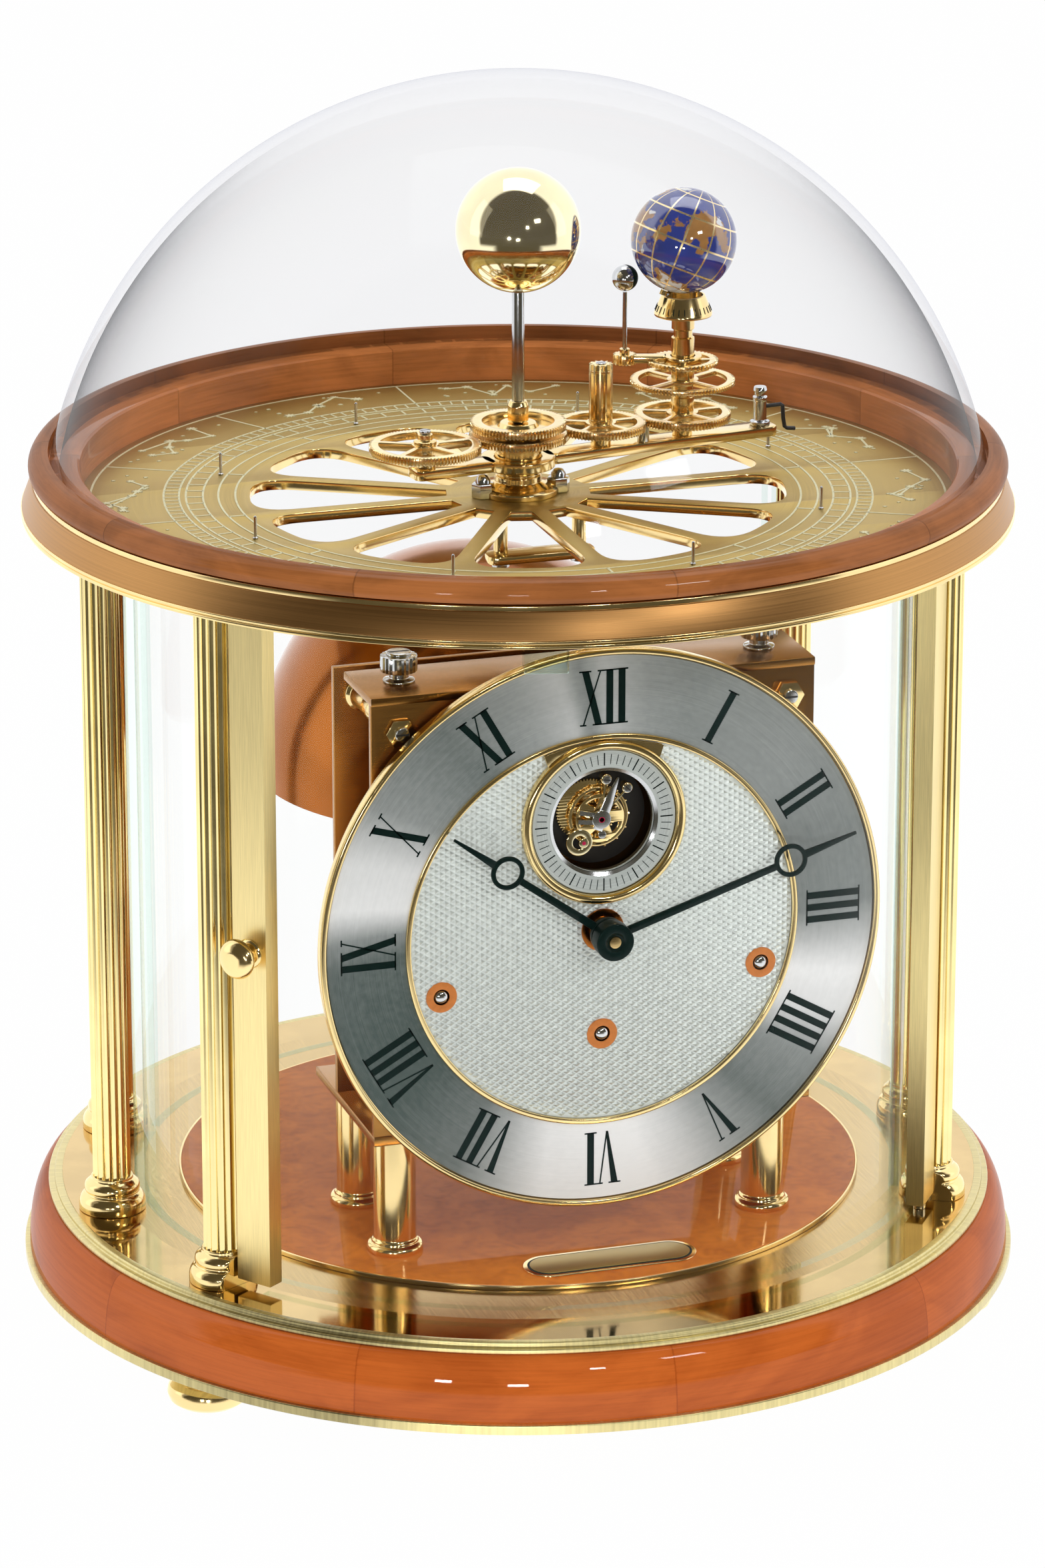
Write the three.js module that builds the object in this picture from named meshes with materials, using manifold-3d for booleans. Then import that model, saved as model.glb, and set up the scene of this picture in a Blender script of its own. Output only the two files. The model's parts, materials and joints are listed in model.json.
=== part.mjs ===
// Table clock with a tellurium under a glass dome. Millimetres, +Z up, origin on the floor under the axis.
// Angles around the case run from the front (-Y) towards +X. Dial pieces are drawn from the front, and
// their depths run forwards from the clock's axis.
import * as THREE from 'three';
import { mergeVertices } from 'three/addons/utils/BufferGeometryUtils.js';
import Module from 'manifold-3d';

// Base
const FOOT_HEIGHT = 12;
const FOOT_RADIUS = 12;
const FOOT_CIRCLE = 134;
const FOOT_ANGLES = { left: -60, right: 60, back: 180 };
const BOTTOM_PLATE_RADIUS = 150;
const BOTTOM_PLATE_THICKNESS = 3;
const PLINTH_HEIGHT = 18.5;
const PLINTH_INSET = 1.5;
const BASE_PLATE_RADIUS = 142.5;
const BASE_PLATE_THICKNESS = 3;
const FLOOR_PANEL_MARGIN = 10.5;
const FLOOR_PANEL_THICKNESS = 1.5;
const PLAQUE_LENGTH = 52;
const PLAQUE_DEPTH = 22;
const PLAQUE_THICKNESS = 1;
const PLAQUE_SETBACK = 15;

// Columns
const COLUMN_HEIGHT = 207.5;
const COLUMN_CIRCLE = 127;
const COLUMN_RADIUS = 5.65;
const COLUMN_BASE_RADIUS = 10;
const COLUMN_BASE_HEIGHT = 10.5;
const COLUMN_CAP_RADIUS = 7.2;
const COLUMN_CAP_HEIGHT = 2.2;
const FLUTES = 12;
const FLUTE_DEPTH = 0.7;
const COLUMN_SIDES = { left: -1, right: 1 };
const COLUMN_ANGLES = { front: 60, middle: 90, rear: 120 };

// Panes and door
const PANE_THICKNESS = 3;
const PANE_CLEARANCE = 0.5;
const SIDE_PANE_ANGLES = [61, 119];
const BACK_PANE_ANGLES = [121, 239];
const DOOR_GLASS_SETBACK = 3.5;
const DOOR_ANGLE = 54;
const DOOR_GLASS_OVERLAP = 0.5;
const DOOR_GAP = 2.6;
const STILE_WIDTH = 11;
const STILE_THICKNESS = 4.5;
const PIVOT_RADIUS = 1.8;
const KNOB_RADIUS = 6;
const KNOB_LENGTH = 9;
const KNOB_RISE = 103.9;
const STOP_WIDTH = 11.5;
const STOP_HEIGHT = 15;
const STOP_DEPTH = 8;
const STOP_ANGLE = -14;

// Top
const TOP_PLATE_RADIUS = 145.7;
const TOP_PLATE_THICKNESS = 3;
const PETALS = 12;
const PETAL_INNER = 21;
const PETAL_OUTER = 79;
const PETAL_CORNER = 12;
const BAR_WIDTH = 4.5;
const BRIDGE_DROP = 9;
const BRIDGE_THICKNESS = 2.5;
const BRIDGE_CIRCLE = 24;
const BRIDGE_POST_RADIUS = 2.1;
const BAND_HEIGHT = 5;
const BAND_STEP_HEIGHT = 3;
const BAND_INSET = 0.7;
const BAND_TAPER = 2;
const BAND_STEP_INSET = 1;
const DOME_RING_HEIGHT = 7;
const DOME_RING_SETBACK = 2.2;
const DOME_RING_WALL = 8.8;
const DOME_RING_UNDERCUT = 1;
const DOME_RING_ROUND = 4;
const DOME_LEDGE = 4;
const DOME_SETBACK = 6.3;
const DOME_HEIGHT = 112.3;
const DOME_THICKNESS = 3;

// Movement
const LEG_RADIUS = 6.25;
const LEG_BASE_RADIUS = 8.25;
const LEG_BASE_HEIGHT = 4;
const LEG_HEIGHT = 37.5;
const LEG_ACROSS = 57;
const LEG_FORWARD = { front: 60, back: 21 };
const SEAT_THICKNESS = 3;
const SEAT_MARGIN = 9;
const MOVEMENT_WIDTH = 132.8;
const MOVEMENT_HEIGHT = 130.5;
const PLATE_THICKNESS = 2.5;
const PLATE_SPACING = 38;
const BACK_PLATE_FORWARD = 31.75;
const PILLAR_RADIUS = 4;
const PILLAR_INSET = 8;
const BRACKET_THICKNESS = 2.5;
const BRACKET_DEPTH = 27;
const THUMB_SCREW_RADIUS = 5;
const THUMB_SCREW_HEIGHT = 9;
const BARREL_RADIUS = 22;
const GREAT_WHEEL_RADIUS = 26;
const GREAT_WHEEL_THICKNESS = 3;
const BARREL_BACK_ROOM = 4;
const BARREL_FRONT_ROOM = 10;
const WINDING_RADIUS = 3;
const BARREL_PLACES = { left: [-48.5, -15.4], middle: [0, -32], right: [48.5, -15.4] };
const BELL_RADIUS = 66;
const BELL_HEIGHT = 68.5;
const BELL_WALL = 2.5;
const BELL_BACK = 45;
const BELL_RISE = 70;
const BELL_POST_RADIUS = 4;
const BELL_ARM_HEIGHT = 10;
const HAMMER_ACROSS = 50;
const HAMMER_PIVOT_FORWARD = 24;
const HAMMER_RISE = 28.5;
const HAMMER_ARM = 46;
const HAMMER_HEAD_RADIUS = 4.5;
const HAMMER_HEAD_LENGTH = 12;
const HAMMER_HUB_RADIUS = 3.2;
const HAMMER_HUB_LENGTH = 8;
const HAMMER_EAR = 2.5;

// Dial
const DIAL_RISE = 59.2;
const DIAL_FORWARD = 77.4;
const DIAL_RADIUS = 84.8;
const DIAL_PLATE_THICKNESS = 1.5;
const DIAL_RIM_WIDTH = 1.8;
const DIAL_RIM_HEIGHT = 2.7;
const DIAL_FOOT_RADIUS = 2.5;
const DIAL_FOOT_ACROSS = 55;
const DIAL_FOOT_UP = 50;
const CHAPTER_INNER = 58.2;
const CHAPTER_THICKNESS = 1.5;
const CENTRE_THICKNESS = 1;
const INNER_RIM_WIDTH = 2.4;
const INNER_RIM_HEIGHT = 0.8;
const SECONDS_UP = 33;
const SECONDS_RADIUS = 24.6;
const SECONDS_RIM_WIDTH = 2.8;
const SECONDS_RIM_HEIGHT = 2.5;
const SECONDS_WINDOW = 15.3;
const SECONDS_RING_THICKNESS = 1;
const WINDING_HOLE_RADIUS = 4.4;
const HAND_THICKNESS = 1;
const HAND_PIPE_RADIUS = 3.6;
const HAND_ARBOR_RADIUS = 2;
const HOUR_HAND = { length: 56.5, eye: 37, boss: 5.2, angle: 306 };
const MINUTE_HAND = { length: 78.3, eye: 57.5, boss: 5.6, angle: 72 };
const HAND_EYE_RADIUS = 5;
const HAND_EYE_WALL = 1.3;
const HAND_WIDTH = 2.2;
const HAND_LIFT = 1.2;
const MINUTE_BOSS_LENGTH = 5.2;
const CAGE_TEETH = 18;
const CAGE_MODULE = 1.35;
const CAGE_THICKNESS = 1;
const CAGE_POST_CIRCLE = 10.9;
const CAGE_POST_RADIUS = 0.8;
const BALANCE_RADIUS = 9.4;
const BALANCE_RIM = 1.3;
const BALANCE_SPOKE = 2;
const NEEDLE_LENGTH = 13.6;
const NEEDLE_TAIL = 4;
const NEEDLE_WIDTH = 2.8;
const NEEDLE_TIP_WIDTH = 1;

// Tellurium
const HUB_RADIUS = 6.8;
const HUB_FLANGE_RADIUS = 12;
const HUB_FLANGE_HEIGHT = 3;
const HUB_HEIGHT = 15;
const ARM_LIFT = 8;
const ARM_THICKNESS = 3;
const ARM_WIDTH = 8;
const ARM_BOSS_RADIUS = 11;
const ARM_REACH = 80;
const ARM_TURN = 8;
const POINTER_REACH = 92;
const POINTER_TIP_LIFT = 8;
const POINTER_RADIUS = 0.9;
const END_POST_RADIUS = 2.2;
const END_POST_HEIGHT = 12;
const GEAR_MODULE = 1;
const TOOTH_ABOVE_PITCH = 0.8;
const TOOTH_BELOW_PITCH = 1.1;
const CENTRE_TEETH = 28;
const IDLER_TEETH = 26;
const EARTH_TEETH = 28;
const COUNTER_TEETH = 32;
const GEAR_THICKNESS = 2.4;
const GEAR_GAP = 1.2;
const GEAR_SHOULDER = 4.7;
const SHOULDER_RADIUS = 3;
const GEAR_PIN_RADIUS = 1.4;
const PINION_RADIUS = 3.4;
const PINION_HEIGHT = 18;
const EARTH_POST_RADIUS = 2;
const EARTH_SLEEVE_RADIUS = 3.4;
const EARTH_SLEEVE_HEIGHT = 31.9;
const UPPER_WHEEL_RADIUS = 15.5;
const UPPER_WHEEL_LIFT = 11;
const UPPER_WHEEL_THICKNESS = 2;
const CUP_RADIUS = 8.6;
const CUP_TOP_RADIUS = 7.6;
const CUP_HEIGHT = 6.5;
const GLOBE_RADIUS = 15.6;
const GLOBE_LIFT = 15.9;
const GLOBE_TILT = 23.5;
const GLOBE_PIN_RADIUS = 1.1;
const MOON_WHEEL_RADIUS = 10.5;
const MOON_ARM_LIFT = 17;
const MOON_ARM_THICKNESS = 2.6;
const MOON_ARM_LENGTH = 17.2;
const MOON_ARM_WIDTH = 3;
const MOON_TURN = 154.5;
const MOON_ROD_RADIUS = 0.7;
const MOON_RADIUS = 3.9;
const MOON_RISE = 26;
const SUN_RADIUS = 18.2;
const SUN_LIFT = 78.7;
const SUN_ROD_RADIUS = 1.85;
const SUN_COLLAR_RADIUS = 3.1;
const SUN_COLLAR_HEIGHT = 6;

// Fits
const RUNNING_GAP = 0.3;
const JOIN = 0.2;
const CUT = 1;

// Facets round a full turn
const LARGE = 36;
const MEDIUM = 24;
const SMALL = 12;
const TINY = 6;

// Heights and depths that follow from the sizes above
const bottomPlateZ = FOOT_HEIGHT;
const plinthZ = bottomPlateZ + BOTTOM_PLATE_THICKNESS;
const basePlateZ = plinthZ + PLINTH_HEIGHT;
const floorZ = basePlateZ + BASE_PLATE_THICKNESS;
const panelTopZ = floorZ + FLOOR_PANEL_THICKNESS;
const topPlateZ = floorZ + COLUMN_HEIGHT;
const deckZ = topPlateZ + TOP_PLATE_THICKNESS;
const bandTopZ = deckZ + BAND_HEIGHT + BAND_STEP_HEIGHT;
const domeRingTopZ = bandTopZ + DOME_RING_HEIGHT;
const domeZ = domeRingTopZ - DOME_LEDGE;
const domeRingRadius = TOP_PLATE_RADIUS - DOME_RING_SETBACK;
const domeRadius = domeRingRadius - DOME_SETBACK;
const seatZ = panelTopZ + LEG_HEIGHT;
const movementZ = seatZ + SEAT_THICKNESS;
const movementTopZ = movementZ + MOVEMENT_HEIGHT;
const dialZ = movementZ + DIAL_RISE;
const bellMouthZ = movementZ + BELL_RISE;
const hammerZ = movementZ + HAMMER_RISE;
const backPlateFront = BACK_PLATE_FORWARD + PLATE_THICKNESS;
const frontPlateBack = BACK_PLATE_FORWARD + PLATE_SPACING;
const frontPlateFront = frontPlateBack + PLATE_THICKNESS;
const dialFace = DIAL_FORWARD + DIAL_PLATE_THICKNESS;
const chapterFace = dialFace + CHAPTER_THICKNESS;
const centreFace = dialFace + CENTRE_THICKNESS;
const secondsRimFace = centreFace + SECONDS_RIM_HEIGHT;
const hourBlade = secondsRimFace + HAND_LIFT;
const minuteBlade = hourBlade + 2 * HAND_THICKNESS + HAND_LIFT;
const paneRadius = COLUMN_CIRCLE - COLUMN_BASE_RADIUS - PANE_CLEARANCE;
const floorPanelRadius = paneRadius - PANE_THICKNESS - FLOOR_PANEL_MARGIN;
const doorGlassRadius = COLUMN_CIRCLE - DOOR_GLASS_SETBACK;
const stileCircle = doorGlassRadius + RUNNING_GAP + STILE_THICKNESS / 2;
const sunZ = deckZ + SUN_LIFT;
const armZ = deckZ + ARM_LIFT;
const armTopZ = armZ + ARM_THICKNESS;
const gearZ = armTopZ + GEAR_SHOULDER;
const idlerReach = (CENTRE_TEETH + IDLER_TEETH) * GEAR_MODULE / 2;
const earthReach = idlerReach + (IDLER_TEETH + EARTH_TEETH) * GEAR_MODULE / 2;
const counterReach = (CENTRE_TEETH + COUNTER_TEETH) * GEAR_MODULE / 2;

const rad = THREE.MathUtils.degToRad;
const wasm = await Module();
wasm.setup();
const clock = new THREE.Group();

// Finishes
const BRASS = { color: 0xd9a441, roughness: 0.22, metalness: 1 };
const BRUSHED_BRASS = { color: 0xcfa24a, roughness: 0.4, metalness: 1 };
const COPPER = { color: 0xc8792f, roughness: 0.3, metalness: 1 };
const NICKEL = { color: 0xb9bcc0, roughness: 0.25, metalness: 1 };
const SILVER = { color: 0xb4bcc0, roughness: 0.42, metalness: 0.9 };
const CHERRY = { color: 0xa8481a, roughness: 0.18, metalness: 0 };
const BURL = { color: 0xb5561d, roughness: 0.3, metalness: 0 };
const GLASS = { color: 0xeaf2f2, roughness: 0.05, metalness: 0, transparent: true, opacity: 0.25 };
const HAND_BLACK = { color: 0x0c1512, roughness: 0.35, metalness: 0.4 };
const GLOBE_BLUE = { color: 0x1d2f8f, roughness: 0.25, metalness: 0.1 };
const MOON_GREY = { color: 0x8b8f94, roughness: 0.3, metalness: 0.6 };

// A closed geometry becomes a solid that can be joined and cut.
function solid(geometry) {
  const loose = geometry.index ? geometry.toNonIndexed() : geometry;
  loose.deleteAttribute('normal');
  loose.deleteAttribute('uv');
  const merged = mergeVertices(loose, 1e-4);
  const corners = merged.index.array;
  const triangles = [];
  for (let i = 0; i < corners.length; i += 3) {
    const [a, b, c] = corners.slice(i, i + 3);
    if (a !== b && b !== c && c !== a) triangles.push(a, b, c);
  }
  const vertProperties = new Float32Array(merged.attributes.position.array);
  const triVerts = new Uint32Array(triangles);
  return new wasm.Manifold(new wasm.Mesh({ numProp: 3, vertProperties, triVerts }));
}

const at = (x, y, z) => new THREE.Matrix4().makeTranslation(x, y, z);
const facingFront = (x, up) => at(x, 0, up).multiply(new THREE.Matrix4().makeRotationX(Math.PI / 2));
const onDial = (x, up) => facingFront(x, dialZ + up);
const around = (radius, degrees, z = 0) =>
  at(radius * Math.sin(rad(degrees)), -radius * Math.cos(rad(degrees)), z);

// A profile of [radius, height] points turned about the upright axis.
function turned(profile, facets, place = at(0, 0, 0)) {
  const points = profile.map(([radius, height]) => new THREE.Vector2(radius, height));
  return solid(new THREE.LatheGeometry(points, facets).rotateX(Math.PI / 2).applyMatrix4(place));
}

const disc = (radius, low, high, facets, place) =>
  turned([[0, low], [radius, low], [radius, high], [0, high]], facets, place);

const ring = (inner, outer, low, high, facets, place) =>
  turned([[inner, low], [outer, low], [outer, high], [inner, high], [inner, low]], facets, place);

// A flat outline raised from one height to another.
function prism(shape, low, high, place = at(0, 0, 0), curveSegments = 4) {
  const raised = new THREE.ExtrudeGeometry(shape, { depth: high - low, bevelEnabled: false, curveSegments });
  return solid(raised.translate(0, 0, low).applyMatrix4(place));
}

const polygon = (points) => new THREE.Shape(points.map(([x, y]) => new THREE.Vector2(x, y)));

const rectangle = (x0, x1, y0, y1) => polygon([[x0, y0], [x1, y0], [x1, y1], [x0, y1]]);

function piece(name, body, finish, parent = clock) {
  const { vertProperties, triVerts } = body.getMesh();
  const geometry = new THREE.BufferGeometry();
  geometry.setAttribute('position', new THREE.BufferAttribute(vertProperties, 3));
  geometry.setIndex(new THREE.BufferAttribute(triVerts, 1));
  geometry.computeVertexNormals();
  const mesh = new THREE.Mesh(geometry, new THREE.MeshStandardMaterial(finish));
  mesh.name = name;
  parent.add(mesh);
  return mesh;
}

// Stands a piece on a circle round the axis, turned to face outwards.
function standAround(mesh, radius, degrees, z) {
  mesh.position.setFromMatrixPosition(around(radius, degrees, z));
  mesh.rotation.z = rad(degrees);
}

function makeBase() {
  const foot = turned([
    [0, 0], [0.6 * FOOT_RADIUS, 0], [FOOT_RADIUS, 0.3 * FOOT_HEIGHT], [FOOT_RADIUS, 0.55 * FOOT_HEIGHT],
    [0.7 * FOOT_RADIUS, 0.8 * FOOT_HEIGHT], [0.7 * FOOT_RADIUS, FOOT_HEIGHT], [0, FOOT_HEIGHT],
  ], SMALL);
  for (const [side, angle] of Object.entries(FOOT_ANGLES)) {
    standAround(piece(`foot_${side}`, foot, BRASS), FOOT_CIRCLE, angle, 0);
  }
  piece('bottom_plate', disc(BOTTOM_PLATE_RADIUS, bottomPlateZ, plinthZ, LARGE), BRASS);
  const plinthFoot = BOTTOM_PLATE_RADIUS - PLINTH_INSET;
  const plinthDraw = plinthFoot - BASE_PLATE_RADIUS;
  const plinth = [[0, plinthZ], [plinthFoot, plinthZ]];
  for (const turn of [30, 60, 90]) {
    const inward = plinthDraw * (1 - Math.cos(rad(turn)));
    plinth.push([plinthFoot - inward, plinthZ + PLINTH_HEIGHT * Math.sin(rad(turn))]);
  }
  plinth.push([0, basePlateZ]);
  piece('plinth', turned(plinth, LARGE), CHERRY);
  piece('base_plate', disc(BASE_PLATE_RADIUS, basePlateZ, floorZ, LARGE), BRASS);
  piece('floor_panel', disc(floorPanelRadius, floorZ, panelTopZ, LARGE), BURL);
  const oval = new THREE.Shape();
  const straight = (PLAQUE_LENGTH - PLAQUE_DEPTH) / 2;
  const forward = floorPanelRadius - PLAQUE_SETBACK;
  oval.absarc(straight, -forward, PLAQUE_DEPTH / 2, -Math.PI / 2, Math.PI / 2);
  oval.absarc(-straight, -forward, PLAQUE_DEPTH / 2, Math.PI / 2, 1.5 * Math.PI);
  const plaque = prism(oval, panelTopZ, panelTopZ + PLAQUE_THICKNESS, at(0, 0, 0), SMALL);
  piece('name_plate', plaque, BRUSHED_BRASS);
}

// The turned foot of a front column is cut flat where the door's stile swings past it.
function makeColumns() {
  const fluted = [];
  for (let i = 0; i < 2 * FLUTES; i += 1) {
    const radius = COLUMN_RADIUS - (i % 2) * FLUTE_DEPTH;
    const turn = Math.PI * i / FLUTES;
    fluted.push([radius * Math.cos(turn), radius * Math.sin(turn)]);
  }
  const [r, h] = [COLUMN_BASE_RADIUS, COLUMN_BASE_HEIGHT];
  const base = turned([
    [0, 0], [0.88 * r, 0], [r, 0.28 * h], [0.88 * r, 0.56 * h], [0.76 * r, 0.6 * h], [0.82 * r, 0.8 * h],
    [0.7 * r, h], [0, h],
  ], SMALL);
  const cap = disc(COLUMN_CAP_RADIUS, COLUMN_HEIGHT - COLUMN_CAP_HEIGHT, COLUMN_HEIGHT, SMALL);
  const column = prism(polygon(fluted), 0, COLUMN_HEIGHT).add(base).add(cap);
  const pivot = new THREE.Vector3().setFromMatrixPosition(around(stileCircle, DOOR_ANGLE));
  const centre = new THREE.Vector3().setFromMatrixPosition(around(COLUMN_CIRCLE, COLUMN_ANGLES.front));
  const stileSwing = Math.hypot(STILE_WIDTH, STILE_THICKNESS) / 2;
  const flat = centre.distanceTo(pivot) - stileSwing - 2 * RUNNING_GAP;
  for (const [side, sign] of Object.entries(COLUMN_SIDES)) {
    for (const [row, angle] of Object.entries(COLUMN_ANGLES)) {
      const far = 2 * COLUMN_BASE_RADIUS;
      const beyond = sign > 0 ? rectangle(-far, -flat, -far, far) : rectangle(flat, far, -far, far);
      const cut = prism(beyond, -CUT, COLUMN_HEIGHT + CUT);
      const body = row === 'front' ? column.subtract(cut) : column;
      standAround(piece(`column_${side}_${row}`, body, BRASS), COLUMN_CIRCLE, sign * angle, floorZ);
    }
  }
}

function bentPane(outer, from, to, low, high) {
  const shape = new THREE.Shape();
  const turn = (degrees) => rad(degrees - 90);
  shape.absarc(0, 0, outer, turn(from), turn(to), false);
  shape.absarc(0, 0, outer - PANE_THICKNESS, turn(to), turn(from), true);
  return prism(shape, low, high, at(0, 0, 0), Math.round((to - from) / 9));
}

function makePanes() {
  const [from, to] = SIDE_PANE_ANGLES;
  piece('left_glass', bentPane(paneRadius, -to, -from, floorZ, topPlateZ), GLASS);
  piece('right_glass', bentPane(paneRadius, from, to, floorZ, topPlateZ), GLASS);
  piece('back_glass', bentPane(paneRadius, ...BACK_PANE_ANGLES, floorZ, topPlateZ), GLASS);
}

function makeDoor() {
  const low = floorZ + DOOR_GAP;
  const high = topPlateZ - DOOR_GAP;
  const reach = DOOR_ANGLE + DOOR_GLASS_OVERLAP;
  piece('door_glass', bentPane(doorGlassRadius, -reach, reach, low, high), GLASS);
  const [w, t] = [STILE_WIDTH / 2, STILE_THICKNESS / 2];
  const stile = prism(rectangle(-w, w, -t, t), low, high);
  const pivots = disc(PIVOT_RADIUS, floorZ, topPlateZ, SMALL);
  standAround(piece('door_stile_left', stile, BRUSHED_BRASS), stileCircle, -DOOR_ANGLE, 0);
  standAround(piece('door_stile_right', stile.add(pivots), BRUSHED_BRASS), stileCircle, DOOR_ANGLE, 0);
  const [r, h] = [KNOB_RADIUS, KNOB_LENGTH];
  const knob = turned([
    [0, 0], [0.8 * r, 0], [0.8 * r, 0.12 * h], [0.45 * r, 0.2 * h], [0.45 * r, 0.4 * h], [r, 0.55 * h],
    [r, 0.8 * h], [0.7 * r, h], [0, h],
  ], SMALL);
  const knobMesh = piece('door_knob', knob, BRASS);
  standAround(knobMesh, stileCircle + t + RUNNING_GAP, -DOOR_ANGLE, floorZ + KNOB_RISE);
  knobMesh.rotation.order = 'ZXY';
  knobMesh.rotation.x = Math.PI / 2;
  const stop = rectangle(-STOP_WIDTH / 2, STOP_WIDTH / 2, 0, STOP_DEPTH);
  const block = prism(stop, topPlateZ - STOP_HEIGHT, topPlateZ);
  const stopCircle = doorGlassRadius - PANE_THICKNESS - 2 * RUNNING_GAP;
  standAround(piece('door_stop', block, GLASS), stopCircle, STOP_ANGLE, 0);
}

// One opening between two bars, drawn along +X.
function petal() {
  const half = Math.PI / PETALS;
  const edge = (along, side) => {
    const across = along * Math.sin(half) - BAR_WIDTH / 2 * Math.cos(half);
    return [along * Math.cos(half) + BAR_WIDTH / 2 * Math.sin(half), side * across];
  };
  const shape = new THREE.Shape();
  const crown = half / 3;
  shape.moveTo(...edge(PETAL_INNER, -1));
  shape.lineTo(...edge(PETAL_OUTER - PETAL_CORNER, -1));
  const [along, across] = [PETAL_OUTER * Math.cos(crown), PETAL_OUTER * Math.sin(crown)];
  shape.quadraticCurveTo(...edge(PETAL_OUTER, -1), along, -across);
  shape.lineTo(along, across);
  shape.quadraticCurveTo(...edge(PETAL_OUTER, 1), ...edge(PETAL_OUTER - PETAL_CORNER, 1));
  shape.lineTo(...edge(PETAL_INNER, 1));
  return shape;
}

function makeTop() {
  let plate = disc(TOP_PLATE_RADIUS, topPlateZ, deckZ, LARGE);
  for (let i = 0; i < PETALS; i += 1) {
    const turn = new THREE.Matrix4().makeRotationZ(2 * Math.PI * (i + 0.5) / PETALS);
    plate = plate.subtract(prism(petal(), topPlateZ - CUT, deckZ + CUT, turn));
  }
  const bridgeZ = topPlateZ - BRIDGE_DROP;
  const postAngle = 180 / PETALS * 2;
  const across = BRIDGE_CIRCLE * Math.sin(rad(postAngle));
  const forward = BRIDGE_CIRCLE * Math.cos(rad(postAngle));
  const end = 2 * BRIDGE_POST_RADIUS;
  const bridge = rectangle(-across - end, across + end, -forward - end, -forward + end);
  plate = plate.add(prism(bridge, bridgeZ - BRIDGE_THICKNESS, bridgeZ));
  for (const angle of [-postAngle, postAngle]) {
    const post = around(BRIDGE_CIRCLE, angle);
    plate = plate.add(disc(BRIDGE_POST_RADIUS, bridgeZ - JOIN, topPlateZ + JOIN, TINY, post));
  }
  piece('top_plate', plate, BRUSHED_BRASS);

  const domeRingInner = domeRadius - DOME_RING_WALL;
  const shoulder = domeRadius + RUNNING_GAP;
  const bandInner = shoulder + 2 * RUNNING_GAP;
  const bandRadius = TOP_PLATE_RADIUS - BAND_INSET;
  const stepRadius = bandRadius - BAND_TAPER - BAND_STEP_INSET;
  const stepZ = deckZ + BAND_HEIGHT;
  piece('band_ring', turned([
    [bandInner, deckZ], [bandRadius, deckZ], [bandRadius - BAND_TAPER, stepZ], [stepRadius, stepZ],
    [stepRadius, bandTopZ], [bandInner, bandTopZ], [bandInner, deckZ],
  ], LARGE), BRUSHED_BRASS);

  const skirt = bandInner - RUNNING_GAP;
  piece('dome_ring', turned([
    [domeRingInner, deckZ], [skirt, deckZ], [skirt, bandTopZ],
    [domeRingRadius - DOME_RING_UNDERCUT, bandTopZ], [domeRingRadius, bandTopZ + 0.4 * DOME_RING_HEIGHT],
    [domeRingRadius - DOME_RING_ROUND, domeRingTopZ], [shoulder, domeRingTopZ], [shoulder, domeZ],
    [domeRingInner, domeZ], [domeRingInner, deckZ],
  ], LARGE), CHERRY);

  // The dome is the cap of a sphere, whose radius follows from the cap's own radius and height.
  const shares = [0, 0.2, 0.4, 0.6, 0.77, 0.9];
  const bowl = (radius, height, low) => {
    const sphere = (radius * radius + height * height) / (2 * height);
    const centre = domeZ + height - sphere;
    const start = Math.asin((sphere - height) / sphere);
    const wall = shares.map((share) => {
      const turn = start + share * (Math.PI / 2 - start);
      return [sphere * Math.cos(turn), centre + sphere * Math.sin(turn)];
    });
    return turned([[0, low], [radius, low], ...wall, [0, domeZ + height]], LARGE);
  };
  const shell = bowl(domeRadius, DOME_HEIGHT, domeZ - CUT);
  const hollow = bowl(domeRadius - DOME_THICKNESS, DOME_HEIGHT - DOME_THICKNESS, domeZ - 2 * CUT);
  const below = disc(2 * domeRadius, domeZ - 3 * CUT, domeZ, SMALL);
  piece('dome', shell.subtract(hollow).subtract(below), GLASS);
}

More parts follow.
